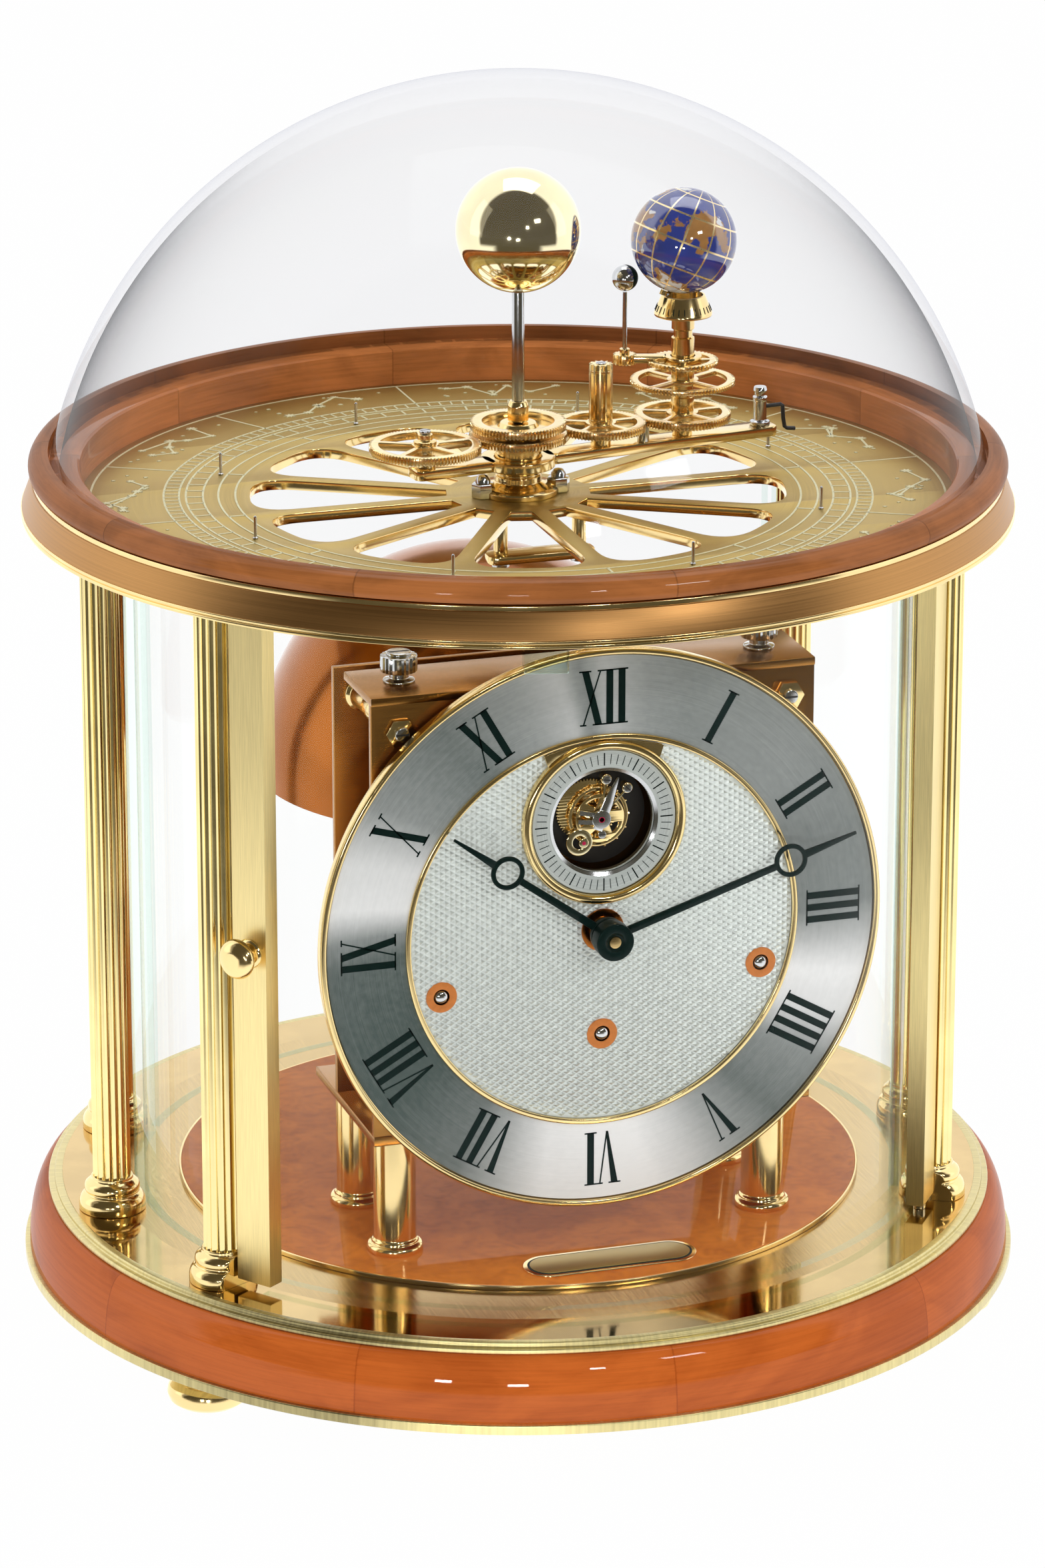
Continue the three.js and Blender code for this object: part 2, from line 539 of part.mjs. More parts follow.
function makeMovement() {
  const leg = turned([
    [0, 0], [LEG_BASE_RADIUS, 0], [LEG_BASE_RADIUS, 0.7 * LEG_BASE_HEIGHT], [LEG_RADIUS, LEG_BASE_HEIGHT],
    [LEG_RADIUS, LEG_HEIGHT], [0, LEG_HEIGHT],
  ], SMALL);
  for (const [side, sign] of Object.entries(COLUMN_SIDES)) {
    for (const [row, forward] of Object.entries(LEG_FORWARD)) {
      piece(`leg_${side}_${row}`, leg, BRASS).position.set(sign * LEG_ACROSS, -forward, panelTopZ);
    }
  }
  const half = MOVEMENT_WIDTH / 2;
  const seatBack = LEG_FORWARD.back - SEAT_MARGIN;
  const seat = rectangle(-half, half, -frontPlateFront, -seatBack);
  piece('movement_seat', prism(seat, seatZ, movementZ), BRASS);

  const upright = rectangle(-half, half, movementZ, movementTopZ);
  let front = prism(upright, frontPlateBack, frontPlateFront, facingFront(0, 0));
  for (const [x, up] of Object.values(BARREL_PLACES)) {
    const bore = WINDING_RADIUS + RUNNING_GAP;
    front = front.subtract(disc(bore, frontPlateBack - CUT, frontPlateFront + CUT, SMALL, onDial(x, up)));
  }
  piece('front_plate', front, BRASS);

  let back = prism(upright, BACK_PLATE_FORWARD, backPlateFront, facingFront(0, 0));
  for (const x of [-half + PILLAR_INSET, half - PILLAR_INSET]) {
    for (const z of [movementZ + PILLAR_INSET, movementTopZ - PILLAR_INSET]) {
      back = back.add(disc(PILLAR_RADIUS, backPlateFront - JOIN, frontPlateBack, SMALL, facingFront(x, z)));
    }
  }
  const earHeight = HAMMER_HUB_RADIUS + HAMMER_EAR;
  for (const sign of [-1, 1]) {
    const inner = HAMMER_ACROSS + sign * (HAMMER_HUB_LENGTH / 2 + RUNNING_GAP);
    const outer = inner + sign * HAMMER_EAR;
    const ear = rectangle(Math.min(inner, outer), Math.max(inner, outer),
      hammerZ - earHeight, hammerZ + earHeight);
    const earBack = HAMMER_PIVOT_FORWARD - earHeight;
    back = back.add(prism(ear, earBack, BACK_PLATE_FORWARD + JOIN, facingFront(0, 0)));
  }
  piece('back_plate', back, BRASS);

  const bracket = rectangle(-half, half, -frontPlateFront, -frontPlateFront + BRACKET_DEPTH);
  let top = prism(bracket, movementTopZ, movementTopZ + BRACKET_THICKNESS);
  for (const sign of [-1, 1]) {
    const screw = at(sign * (half - 1.5 * PILLAR_INSET), -frontPlateFront + BRACKET_DEPTH / 2, movementTopZ);
    top = top.add(disc(THUMB_SCREW_RADIUS, JOIN, BRACKET_THICKNESS + THUMB_SCREW_HEIGHT, SMALL, screw));
  }
  piece('top_bracket', top, BRASS);
}

// A spring barrel, its great wheel and its winding arbor turn as one.
function makeBarrels() {
  const rear = backPlateFront + RUNNING_GAP;
  const drumBack = rear + BARREL_BACK_ROOM;
  const drumFront = frontPlateBack - BARREL_FRONT_ROOM;
  for (const [name, [x, up]] of Object.entries(BARREL_PLACES)) {
    const wheel = name === 'middle' ? drumBack + GREAT_WHEEL_THICKNESS : drumFront;
    const reach = centreFace + HAND_LIFT / 2;
    const drum = disc(BARREL_RADIUS, drumBack, drumFront + JOIN, MEDIUM, onDial(x, up));
    const great = disc(GREAT_WHEEL_RADIUS, wheel, wheel + GREAT_WHEEL_THICKNESS, MEDIUM, onDial(x, up));
    const arbor = disc(WINDING_RADIUS, rear, reach, SMALL, onDial(x, up));
    piece(`barrel_${name}`, drum.add(great).add(arbor), BRASS);
  }
}

function makeBell() {
  const crownZ = bellMouthZ + BELL_HEIGHT;
  const place = at(0, BELL_BACK, bellMouthZ);
  const bowl = (radius, height) => {
    const turns = [0, 25, 50, 72];
    const wall = turns.map((turn) => [radius * Math.cos(rad(turn)), height * Math.sin(rad(turn))]);
    return [...wall, [2 * BELL_POST_RADIUS, height], [0, height]];
  };
  const outside = turned([[0, 0], ...bowl(BELL_RADIUS, BELL_HEIGHT)], MEDIUM, place);
  const innerRadius = BELL_RADIUS - BELL_WALL;
  const inner = [[0, -CUT], [innerRadius, -CUT], ...bowl(innerRadius, BELL_HEIGHT - BELL_WALL)];
  const inside = turned(inner, MEDIUM, place);
  piece('bell', outside.subtract(inside), COPPER);
  const armZ0 = bellMouthZ - 2 * BELL_ARM_HEIGHT;
  const r = BELL_POST_RADIUS;
  const arm = rectangle(-r, r, -BACK_PLATE_FORWARD, BELL_BACK + r);
  const postTop = crownZ - BELL_WALL - RUNNING_GAP;
  const post = disc(r, armZ0 + JOIN, postTop, SMALL, at(0, BELL_BACK, 0));
  piece('bell_stand', prism(arm, armZ0, armZ0 + BELL_ARM_HEIGHT).add(post), BRASS);
}

function makeHammer() {
  const sideways = new THREE.Matrix4().makeRotationY(Math.PI / 2);
  const place = at(HAMMER_ACROSS, -HAMMER_PIVOT_FORWARD, hammerZ);
  const hubPlace = place.clone().multiply(sideways);
  const hub = disc(HAMMER_HUB_RADIUS, -HAMMER_HUB_LENGTH / 2, HAMMER_HUB_LENGTH / 2, SMALL, hubPlace);
  const rod = disc(HAMMER_HUB_RADIUS / 2, 0, HAMMER_ARM, TINY, place);
  const headBack = HAMMER_PIVOT_FORWARD - HAMMER_HEAD_LENGTH - HAMMER_HUB_RADIUS / 2;
  const headPlace = facingFront(HAMMER_ACROSS, hammerZ + HAMMER_ARM);
  const headFront = HAMMER_PIVOT_FORWARD + HAMMER_HUB_RADIUS / 2;
  const head = disc(HAMMER_HEAD_RADIUS, headBack, headFront, SMALL, headPlace);
  piece('hammer', hub.add(rod).add(head), NICKEL);
}

function makeDial() {
  const middle = onDial(0, 0);
  const seconds = onDial(0, SECONDS_UP);
  let plate = disc(DIAL_RADIUS, DIAL_FORWARD, dialFace, LARGE, middle);
  let centre = disc(CHAPTER_INNER - RUNNING_GAP, dialFace, centreFace, LARGE, middle);
  const through = (radius, place, facets = SMALL) =>
    disc(radius, DIAL_FORWARD - CUT, centreFace + CUT, facets, place);
  const holes = [
    through(SECONDS_WINDOW, seconds, MEDIUM),
    through(HAND_PIPE_RADIUS + RUNNING_GAP, middle),
    ...Object.values(BARREL_PLACES).map(([x, up]) => through(WINDING_HOLE_RADIUS, onDial(x, up))),
  ];
  for (const hole of holes) {
    plate = plate.subtract(hole);
    centre = centre.subtract(hole);
  }
  const rimInner = DIAL_RADIUS - DIAL_RIM_WIDTH;
  plate = plate.add(ring(rimInner, DIAL_RADIUS, dialFace - JOIN, dialFace + DIAL_RIM_HEIGHT, LARGE, middle));
  for (const x of [-DIAL_FOOT_ACROSS, DIAL_FOOT_ACROSS]) {
    for (const up of [-DIAL_FOOT_UP, DIAL_FOOT_UP]) {
      plate = plate.add(disc(DIAL_FOOT_RADIUS, frontPlateFront, DIAL_FORWARD + JOIN, TINY, onDial(x, up)));
    }
  }
  piece('dial_plate', plate, BRASS);
  const chapter = ring(CHAPTER_INNER, rimInner - RUNNING_GAP, dialFace, chapterFace, LARGE, middle);
  piece('chapter_ring', chapter, SILVER);
  piece('dial_centre', centre, SILVER);
  const innerRim = ring(CHAPTER_INNER - INNER_RIM_WIDTH / 2, CHAPTER_INNER + INNER_RIM_WIDTH / 2,
    chapterFace, chapterFace + INNER_RIM_HEIGHT, LARGE, middle);
  const secondsInner = SECONDS_RADIUS - SECONDS_RIM_WIDTH;
  const secondsRim = ring(secondsInner, SECONDS_RADIUS, centreFace, secondsRimFace, MEDIUM, seconds);
  piece('inner_rim', innerRim.add(secondsRim), BRASS);
  const ringOuter = secondsInner - RUNNING_GAP;
  const ringFace = centreFace + SECONDS_RING_THICKNESS;
  const secondsRing = ring(SECONDS_WINDOW, ringOuter, centreFace, ringFace, MEDIUM, seconds);
  piece('seconds_ring', secondsRing, SILVER);
}

// A hand with a round eye: a tapered blade, the eye and a fine tip.
function handBlade({ length, eye, boss, angle }, low, facets) {
  const turn = onDial(0, 0).multiply(new THREE.Matrix4().makeRotationZ(-rad(angle)));
  const w = HAND_WIDTH / 2;
  const inside = HAND_EYE_RADIUS - HAND_EYE_WALL / 2;
  const [root, neck] = [boss - CUT, eye - inside];
  const blade = polygon([[-w, root], [w, root], [0.7 * w, neck], [-0.7 * w, neck]]);
  const tip = polygon([[-w, eye + inside], [w, eye + inside], [0.4 * w, length], [-0.4 * w, length]]);
  const eyePlace = turn.clone().multiply(at(0, eye, 0));
  const high = low + HAND_THICKNESS;
  const eyeRing = ring(HAND_EYE_RADIUS - HAND_EYE_WALL, HAND_EYE_RADIUS, low, high, facets, eyePlace);
  return prism(blade, low, high, turn).add(eyeRing).add(prism(tip, low, high, turn));
}

function makeHands() {
  const middle = onDial(0, 0);
  const behind = frontPlateFront + RUNNING_GAP;
  const bore = HAND_ARBOR_RADIUS + RUNNING_GAP;
  const hourFront = hourBlade + 2 * HAND_THICKNESS;
  const pipe = ring(bore, HAND_PIPE_RADIUS, behind, hourFront, SMALL, middle);
  const hourBoss = ring(bore, HOUR_HAND.boss, hourBlade, hourFront, SMALL, middle);
  const hour = pipe.add(hourBoss).add(handBlade(HOUR_HAND, hourBlade, SMALL));
  piece('hour_hand', hour, HAND_BLACK);
  const minuteFront = minuteBlade + MINUTE_BOSS_LENGTH;
  const arbor = disc(HAND_ARBOR_RADIUS, behind, minuteFront - JOIN, SMALL, middle);
  const boss = disc(MINUTE_HAND.boss, minuteBlade, minuteFront, SMALL, middle);
  piece('minute_hand', arbor.add(boss).add(handBlade(MINUTE_HAND, minuteBlade, SMALL)), HAND_BLACK);
}

// Gear outline with straight-flanked teeth; the first tooth points along +X unless half a pitch on.
function gearShape(teeth, module, halfPitch) {
  const pitch = 2 * Math.PI / teeth;
  const tip = module * (teeth / 2 + TOOTH_ABOVE_PITCH);
  const root = module * (teeth / 2 - TOOTH_BELOW_PITCH);
  const points = [];
  for (let i = 0; i < teeth; i += 1) {
    const middle = pitch * (i + (halfPitch ? 0.5 : 0));
    for (const [radius, offset] of [[root, -0.27], [tip, -0.1], [tip, 0.1], [root, 0.27]]) {
      const turn = middle + offset * pitch;
      points.push([radius * Math.cos(turn), radius * Math.sin(turn)]);
    }
  }
  return polygon(points);
}

function makeCage() {
  const place = onDial(0, SECONDS_UP);
  const wheel = frontPlateFront + 3 * RUNNING_GAP;
  const wheelFront = wheel + CAGE_THICKNESS;
  const balance = wheelFront + 2 * RUNNING_GAP;
  const bar = balance + CAGE_THICKNESS + 2 * RUNNING_GAP;
  const barFront = bar + CAGE_THICKNESS;
  const pointer = barFront + 2 * RUNNING_GAP;
  const pointerFront = pointer + CAGE_THICKNESS;
  const arbor = CAGE_POST_RADIUS;
  const half = CAGE_POST_CIRCLE + CAGE_POST_RADIUS;
  let cage = prism(gearShape(CAGE_TEETH, CAGE_MODULE, false), wheel, wheelFront, place);
  cage = cage.add(disc(arbor, frontPlateFront + RUNNING_GAP, pointerFront, TINY, place));
  cage = cage.add(prism(rectangle(-half, half, -2 * arbor, 2 * arbor), bar, barFront, place));
  for (const x of [-CAGE_POST_CIRCLE, CAGE_POST_CIRCLE]) {
    const post = place.clone().multiply(at(x, 0, 0));
    cage = cage.add(disc(CAGE_POST_RADIUS, wheelFront - JOIN, bar + JOIN, TINY, post));
  }
  const [tail, tip] = [NEEDLE_WIDTH / 2, NEEDLE_TIP_WIDTH / 2];
  const needle = polygon([
    [-tail, -NEEDLE_TAIL], [tail, -NEEDLE_TAIL], [tip, NEEDLE_LENGTH], [-tip, NEEDLE_LENGTH],
  ]);
  piece('balance_cage', cage.add(prism(needle, pointer, pointerFront, place)), BRASS);
  const balanceFront = balance + CAGE_THICKNESS;
  const rim = ring(BALANCE_RADIUS - BALANCE_RIM, BALANCE_RADIUS, balance, balanceFront, MEDIUM, place);
  const reach = BALANCE_RADIUS - BALANCE_RIM / 2;
  const spokes = rectangle(-BALANCE_SPOKE / 2, BALANCE_SPOKE / 2, -reach, reach);
  const spoke = prism(spokes, balance, balanceFront, place);
  const hub = disc(3 * arbor, balance, balanceFront, SMALL, place);
  const bore = disc(arbor + RUNNING_GAP, balance - CUT, balanceFront + CUT, TINY, place);
  piece('balance_wheel', rim.add(spoke).add(hub).subtract(bore), BRASS);
}

// The hub, its fixed double wheel and the sun stand still; the arm turns round the hub.
function makeSun() {
  const hubTop = deckZ + HUB_HEIGHT;
  piece('hub', turned([
    [0, deckZ], [HUB_FLANGE_RADIUS, deckZ], [HUB_FLANGE_RADIUS, deckZ + HUB_FLANGE_HEIGHT],
    [HUB_RADIUS, deckZ + HUB_FLANGE_HEIGHT], [HUB_RADIUS, hubTop], [0, hubTop],
  ], MEDIUM), BRASS);
  const row = new THREE.Matrix4().makeRotationZ(rad(ARM_TURN));
  const upper = gearZ + GEAR_THICKNESS + GEAR_GAP;
  const wheelTop = upper + GEAR_THICKNESS;
  const outline = gearShape(CENTRE_TEETH, GEAR_MODULE, false);
  const lowerRow = prism(outline, gearZ, gearZ + GEAR_THICKNESS, row);
  const upperRow = disc(CENTRE_TEETH * GEAR_MODULE / 2, upper, wheelTop, MEDIUM);
  piece('centre_gear', disc(HUB_RADIUS, hubTop, wheelTop, MEDIUM).add(lowerRow).add(upperRow), BRASS);
  const sunFoot = sunZ - SUN_RADIUS - RUNNING_GAP;
  const collarTop = wheelTop + SUN_COLLAR_HEIGHT;
  piece('sun_rod', turned([
    [0, wheelTop], [SUN_COLLAR_RADIUS, wheelTop], [SUN_COLLAR_RADIUS, collarTop], [SUN_ROD_RADIUS, collarTop],
    [SUN_ROD_RADIUS, sunFoot], [0, sunFoot],
  ], SMALL), NICKEL);
  const ball = new THREE.SphereGeometry(SUN_RADIUS, 16, 10).rotateX(Math.PI / 2).translate(0, 0, sunZ);
  piece('sun', solid(ball), BRASS);
}

function makeArm(arm) {
  const w = ARM_WIDTH / 2;
  const shoulderTop = gearZ - RUNNING_GAP;
  let bar = prism(rectangle(-counterReach - w, ARM_REACH + w, -w, w), armZ, armTopZ);
  bar = bar.add(disc(ARM_BOSS_RADIUS, armZ, armTopZ, MEDIUM));
  bar = bar.subtract(disc(HUB_RADIUS + RUNNING_GAP, armZ - CUT, armTopZ + CUT, MEDIUM));
  const earthPostTop = gearZ + EARTH_SLEEVE_HEIGHT - RUNNING_GAP;
  const pins = [
    [idlerReach, GEAR_PIN_RADIUS, gearZ + GEAR_THICKNESS],
    [-counterReach, GEAR_PIN_RADIUS, gearZ + GEAR_THICKNESS],
    [earthReach, EARTH_POST_RADIUS, earthPostTop],
  ];
  for (const [reach, radius, top] of pins) {
    bar = bar.add(disc(SHOULDER_RADIUS, armTopZ - JOIN, shoulderTop, SMALL, at(reach, 0, 0)));
    bar = bar.add(disc(radius, armTopZ - JOIN, top, SMALL, at(reach, 0, 0)));
  }
  bar = bar.add(disc(END_POST_RADIUS, armTopZ - JOIN, armTopZ + END_POST_HEIGHT, SMALL, at(ARM_REACH, 0, 0)));
  const p = POINTER_RADIUS;
  const hookTop = armTopZ + END_POST_HEIGHT / 2;
  const tipZ = deckZ + POINTER_TIP_LIFT;
  bar = bar.add(prism(rectangle(ARM_REACH, POINTER_REACH, -p, p), hookTop - 2 * p, hookTop));
  bar = bar.add(prism(rectangle(POINTER_REACH - 2 * p, POINTER_REACH, -p, p), tipZ, hookTop));
  piece('orbit_arm', bar, BRASS, arm);
}

function makeWheels(arm) {
  const high = gearZ + GEAR_THICKNESS;
  const pinHole = (reach) =>
    disc(GEAR_PIN_RADIUS + RUNNING_GAP, gearZ - CUT, high + RUNNING_GAP, SMALL, at(reach, 0, 0));
  const counter = prism(gearShape(COUNTER_TEETH, GEAR_MODULE, true), gearZ, high, at(-counterReach, 0, 0));
  piece('counter_gear', counter.subtract(pinHole(-counterReach)), BRASS, arm);
  const idler = prism(gearShape(IDLER_TEETH, GEAR_MODULE, true), gearZ, high, at(idlerReach, 0, 0));
  const pinion = disc(PINION_RADIUS, high - JOIN, high + PINION_HEIGHT, TINY, at(idlerReach, 0, 0));
  piece('idler_gear', idler.add(pinion).subtract(pinHole(idlerReach)), BRASS, arm);
}

// The earth's wheel, sleeve and cup turn about the post; a slanted pin in the cup carries the globe.
function makeEarth(arm) {
  const place = at(earthReach, 0, 0);
  const sleeveTop = gearZ + EARTH_SLEEVE_HEIGHT;
  const upperZ = gearZ + UPPER_WHEEL_LIFT;
  const cupTop = sleeveTop + CUP_HEIGHT;
  const globeZ = cupTop + GLOBE_LIFT;
  let carrier = prism(gearShape(EARTH_TEETH, GEAR_MODULE, false), gearZ, gearZ + GEAR_THICKNESS, place);
  carrier = carrier.add(disc(EARTH_SLEEVE_RADIUS, gearZ, sleeveTop + JOIN, SMALL, place));
  carrier = carrier.add(disc(UPPER_WHEEL_RADIUS, upperZ, upperZ + UPPER_WHEEL_THICKNESS, MEDIUM, place));
  carrier = carrier.add(turned([
    [0, sleeveTop], [CUP_RADIUS, sleeveTop], [CUP_TOP_RADIUS, cupTop], [0, cupTop],
  ], SMALL, place));
  const lean = new THREE.Matrix4().makeRotationY(rad(GLOBE_TILT));
  const pinFoot = -(GLOBE_LIFT + CUT) / Math.cos(rad(GLOBE_TILT));
  const pinPlace = at(earthReach, 0, globeZ).multiply(lean);
  carrier = carrier.add(disc(GLOBE_PIN_RADIUS, pinFoot, -GLOBE_RADIUS - RUNNING_GAP, TINY, pinPlace));
  carrier = carrier.subtract(disc(EARTH_POST_RADIUS + RUNNING_GAP, gearZ - CUT, sleeveTop, SMALL, place));
  piece('earth_carrier', carrier, BRASS, arm);
  const ball = new THREE.SphereGeometry(GLOBE_RADIUS, 16, 10).rotateX(Math.PI / 2);
  const globe = piece('globe', solid(ball), GLOBE_BLUE, arm);
  globe.position.set(earthReach, 0, globeZ);
  globe.rotation.y = rad(GLOBE_TILT);
}

function makeMoon(arm) {
  const place = at(earthReach, 0, 0).multiply(new THREE.Matrix4().makeRotationZ(rad(MOON_TURN)));
  const low = gearZ + MOON_ARM_LIFT;
  const high = low + MOON_ARM_THICKNESS;
  const moonZ = low + MOON_RISE;
  const w = MOON_ARM_WIDTH / 2;
  let bar = disc(MOON_WHEEL_RADIUS, low, high, MEDIUM, place);
  bar = bar.add(prism(rectangle(0, MOON_ARM_LENGTH + w, -w, w), low, high, place));
  const end = place.clone().multiply(at(MOON_ARM_LENGTH, 0, 0));
  bar = bar.add(disc(MOON_ROD_RADIUS, high - JOIN, moonZ - MOON_RADIUS - RUNNING_GAP, TINY, end));
  bar = bar.subtract(disc(EARTH_SLEEVE_RADIUS + RUNNING_GAP, low - CUT, high + CUT, SMALL, place));
  piece('moon_arm', bar, BRASS, arm);
  const ball = new THREE.SphereGeometry(MOON_RADIUS, 10, 6).rotateX(Math.PI / 2).applyMatrix4(end);
  piece('moon', solid(ball.translate(0, 0, moonZ)), MOON_GREY, arm);
}

makeBase();
makeColumns();
makePanes();
makeDoor();
makeTop();
makeMovement();
makeBarrels();
makeBell();
makeHammer();
makeDial();
makeHands();
makeCage();
makeSun();
const arm = new THREE.Group();
arm.rotation.z = rad(ARM_TURN);
clock.add(arm);
makeArm(arm);
makeWheels(arm);
makeEarth(arm);
makeMoon(arm);

export default clock;
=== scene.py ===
"""Looks of the table clock with a tellurium under its dome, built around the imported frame.

Shapes are worked out in millimetres, in the clock's own frame: +Z up, the dial faces -Y, and angles
round the case run from the front towards +X. Dial pieces are drawn as seen from the front, with depths
that run forwards.
"""
import json
import math
import random
from functools import partialmethod

import bmesh
import bpy
from mathutils import Matrix, Vector


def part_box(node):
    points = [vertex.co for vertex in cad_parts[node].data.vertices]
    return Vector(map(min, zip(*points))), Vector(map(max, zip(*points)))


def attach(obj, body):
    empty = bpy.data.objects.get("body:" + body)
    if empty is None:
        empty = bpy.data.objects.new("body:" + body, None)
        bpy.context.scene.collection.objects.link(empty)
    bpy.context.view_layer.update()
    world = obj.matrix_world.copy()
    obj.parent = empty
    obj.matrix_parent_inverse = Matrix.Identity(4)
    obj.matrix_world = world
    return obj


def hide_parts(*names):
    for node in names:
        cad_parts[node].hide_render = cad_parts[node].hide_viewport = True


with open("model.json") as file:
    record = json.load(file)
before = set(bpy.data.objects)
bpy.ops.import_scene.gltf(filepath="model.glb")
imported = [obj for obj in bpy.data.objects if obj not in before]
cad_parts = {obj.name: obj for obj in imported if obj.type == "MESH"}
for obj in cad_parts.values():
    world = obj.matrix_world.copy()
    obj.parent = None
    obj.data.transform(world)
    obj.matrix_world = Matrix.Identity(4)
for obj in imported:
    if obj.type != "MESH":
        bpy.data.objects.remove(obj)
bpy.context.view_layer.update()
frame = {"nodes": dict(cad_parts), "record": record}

bl_info = {
    "name": "Tellurium Clock",
    "version": (1, 0, 0),
    "blender": (4, 5, 0),
    "location": "View3D > Sidebar > Clock",
    "description": "Dresses the frame of a tellurium clock in brass, cherry wood, glass and silver",
    "category": "Object",
}

MM = 0.001


def box_mm(node):
    """Lowest and highest corner of a frame node, in millimetres."""
    low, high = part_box(node)
    return low / MM, high / MM


def middle_mm(node):
    """Centre of a frame node's box, in millimetres."""
    low, high = box_mm(node)
    return (low + high) / 2


def colour(name, text, default):
    return bpy.props.FloatVectorProperty(
        name=name, description=text, default=default, subtype="COLOR", size=3, min=0, max=1)


def length(name, text, default_mm):
    return bpy.props.FloatProperty(
        name=name, description=text, default=default_mm * MM, unit="LENGTH", min=0, precision=5)


def count(name, text, default):
    return bpy.props.IntProperty(name=name, description=text, default=default, min=1)


def angle(name, text, default_degrees):
    return bpy.props.FloatProperty(
        name=name, description=text, default=math.radians(default_degrees), subtype="ANGLE")


class ClockColours(bpy.types.PropertyGroup):
    """Colours of the clock's finishes."""

    brass: colour("Brass", "Polished and lacquered brass", (0.93, 0.71, 0.34))
    sun_gold: colour("Sun", "Bright plating of the sun", (0.98, 0.86, 0.55))
    gear_brass: colour("Wheels", "Warm brass of the wheels under the dome", (1.0, 0.76, 0.40))
    pale_brass: colour("Pale brass", "Door stiles, columns and plate rims", (0.91, 0.75, 0.36))
    plate: colour("Calendar plate", "Matt gold of the engraved plate and the plaque", (0.52, 0.375, 0.115))
    copper: colour("Copper", "Bell and winding discs", (0.36, 0.115, 0.022))
    # The band's brass is darkened to brown: partly a painted reflection of the wooden ring and the dark
    # room.
    band: colour("Band", "Brushed band under the dome ring", (0.47, 0.245, 0.085))
    base_gold: colour("Base plate", "Polished plate on the plinth", (0.60, 0.43, 0.19))
    movement: colour("Movement plates", "Brushed brass of the movement", (0.44, 0.21, 0.05))
    nickel: colour("Nickel", "Rods, pins and thumb screws", (0.62, 0.63, 0.64))
    silver: colour("Silver", "Brushed chapter ring", (0.30, 0.445, 0.405))
    pearl: colour("Dial centre", "White lines and cut diamonds of the dial centre", (0.93, 1.0, 0.96))
    ink: colour("Ink", "Numerals, marks and hands", (0.004, 0.014, 0.012))
    cherry: colour("Cherry", "Light wood of the plinth", (0.68, 0.155, 0.026))
    cherry_dark: colour("Cherry grain", "Dark streaks in the plinth", (0.43, 0.082, 0.012))
    # Painted shade and light: the outside of the dome ring is a darker, shaded copy of its wood, and the
    # inside a lighter, lit copy.
    ring_wood: colour("Dome ring", "Brown painted_shade on the outside of the dome ring", (0.45, 0.155, 0.045))
    ring_grain_shaded: colour("Dome ring grain", "Dark streaks in the dome ring", (0.21, 0.070, 0.020))
    burl: colour("Burl", "Veneer of the floor panel", (0.98, 0.31, 0.042))
    burl_dark: colour("Burl eyes", "Dark clouds in the veneer", (0.62, 0.16, 0.028))
    glass_edge: colour("Glass edge", "Green of cut glass edges", (0.72, 0.86, 0.80))
    dome_tint: colour("Dome edge", "Grey of the dome seen along its wall", (0.56, 0.57, 0.63))
    sea: colour("Sea", "Blue enamel of the globe", (0.010, 0.030, 0.25))
    land: colour("Land", "Stone inlay of the globe", (0.30, 0.14, 0.035))
    ruby: colour("Ruby", "Jewel bearing", (0.45, 0.01, 0.06))
    floor: colour("Floor", "Pale studio floor", (0.92, 0.92, 0.92))


class ClockSizes(bpy.types.PropertyGroup):
    """Counts and sizes of the finer work."""

    flutes: count("Flutes", "Grooves round each column", 18)
    flute_depth: length("Flute depth", "How deep each groove is cut", 0.5)
    diamond_width: length("Diamond width", "Width of one diamond of the dial centre", 3.05)
    diamond_height: length("Diamond height", "Height of one diamond of the dial centre", 1.98)
    diamond_rise: length("Diamond rise", "How far a diamond stands proud", 0.28)
    calendar_ticks: count("Calendar ticks", "Fine marks round the calendar plate", 180)
    seconds_ticks: count("Seconds ticks", "Marks round the seconds ring", 60)
    plate_pins: count("Plate pins", "Upright pins round the calendar plate", 8)
    plate_pin_height: length("Pin height", "Height of an upright pin", 6.8)
    wood_joints: count("Wood segments", "Pieces of wood round the plinth", 10)


class ClockStage(bpy.types.PropertyGroup):
    """Placing and framing of the camera."""

    distance: length("Camera distance", "Level distance from the clock's axis", 1800)
    height: length("Camera height", "Height above the floor", 758)
    turn: angle("Camera turn", "How far left of the front the camera stands", 17.71)
    pitch: angle("Camera pitch", "How far down the camera looks", 18.48)
    lens: bpy.props.FloatProperty(name="Lens", description="Focal length on a 36 mm long side",
                                  default=146.1, unit="CAMERA")
    shift: bpy.props.FloatProperty(name="Shift", description="Sideways lens shift of the framing",
                                   default=0.0028, subtype="FACTOR")


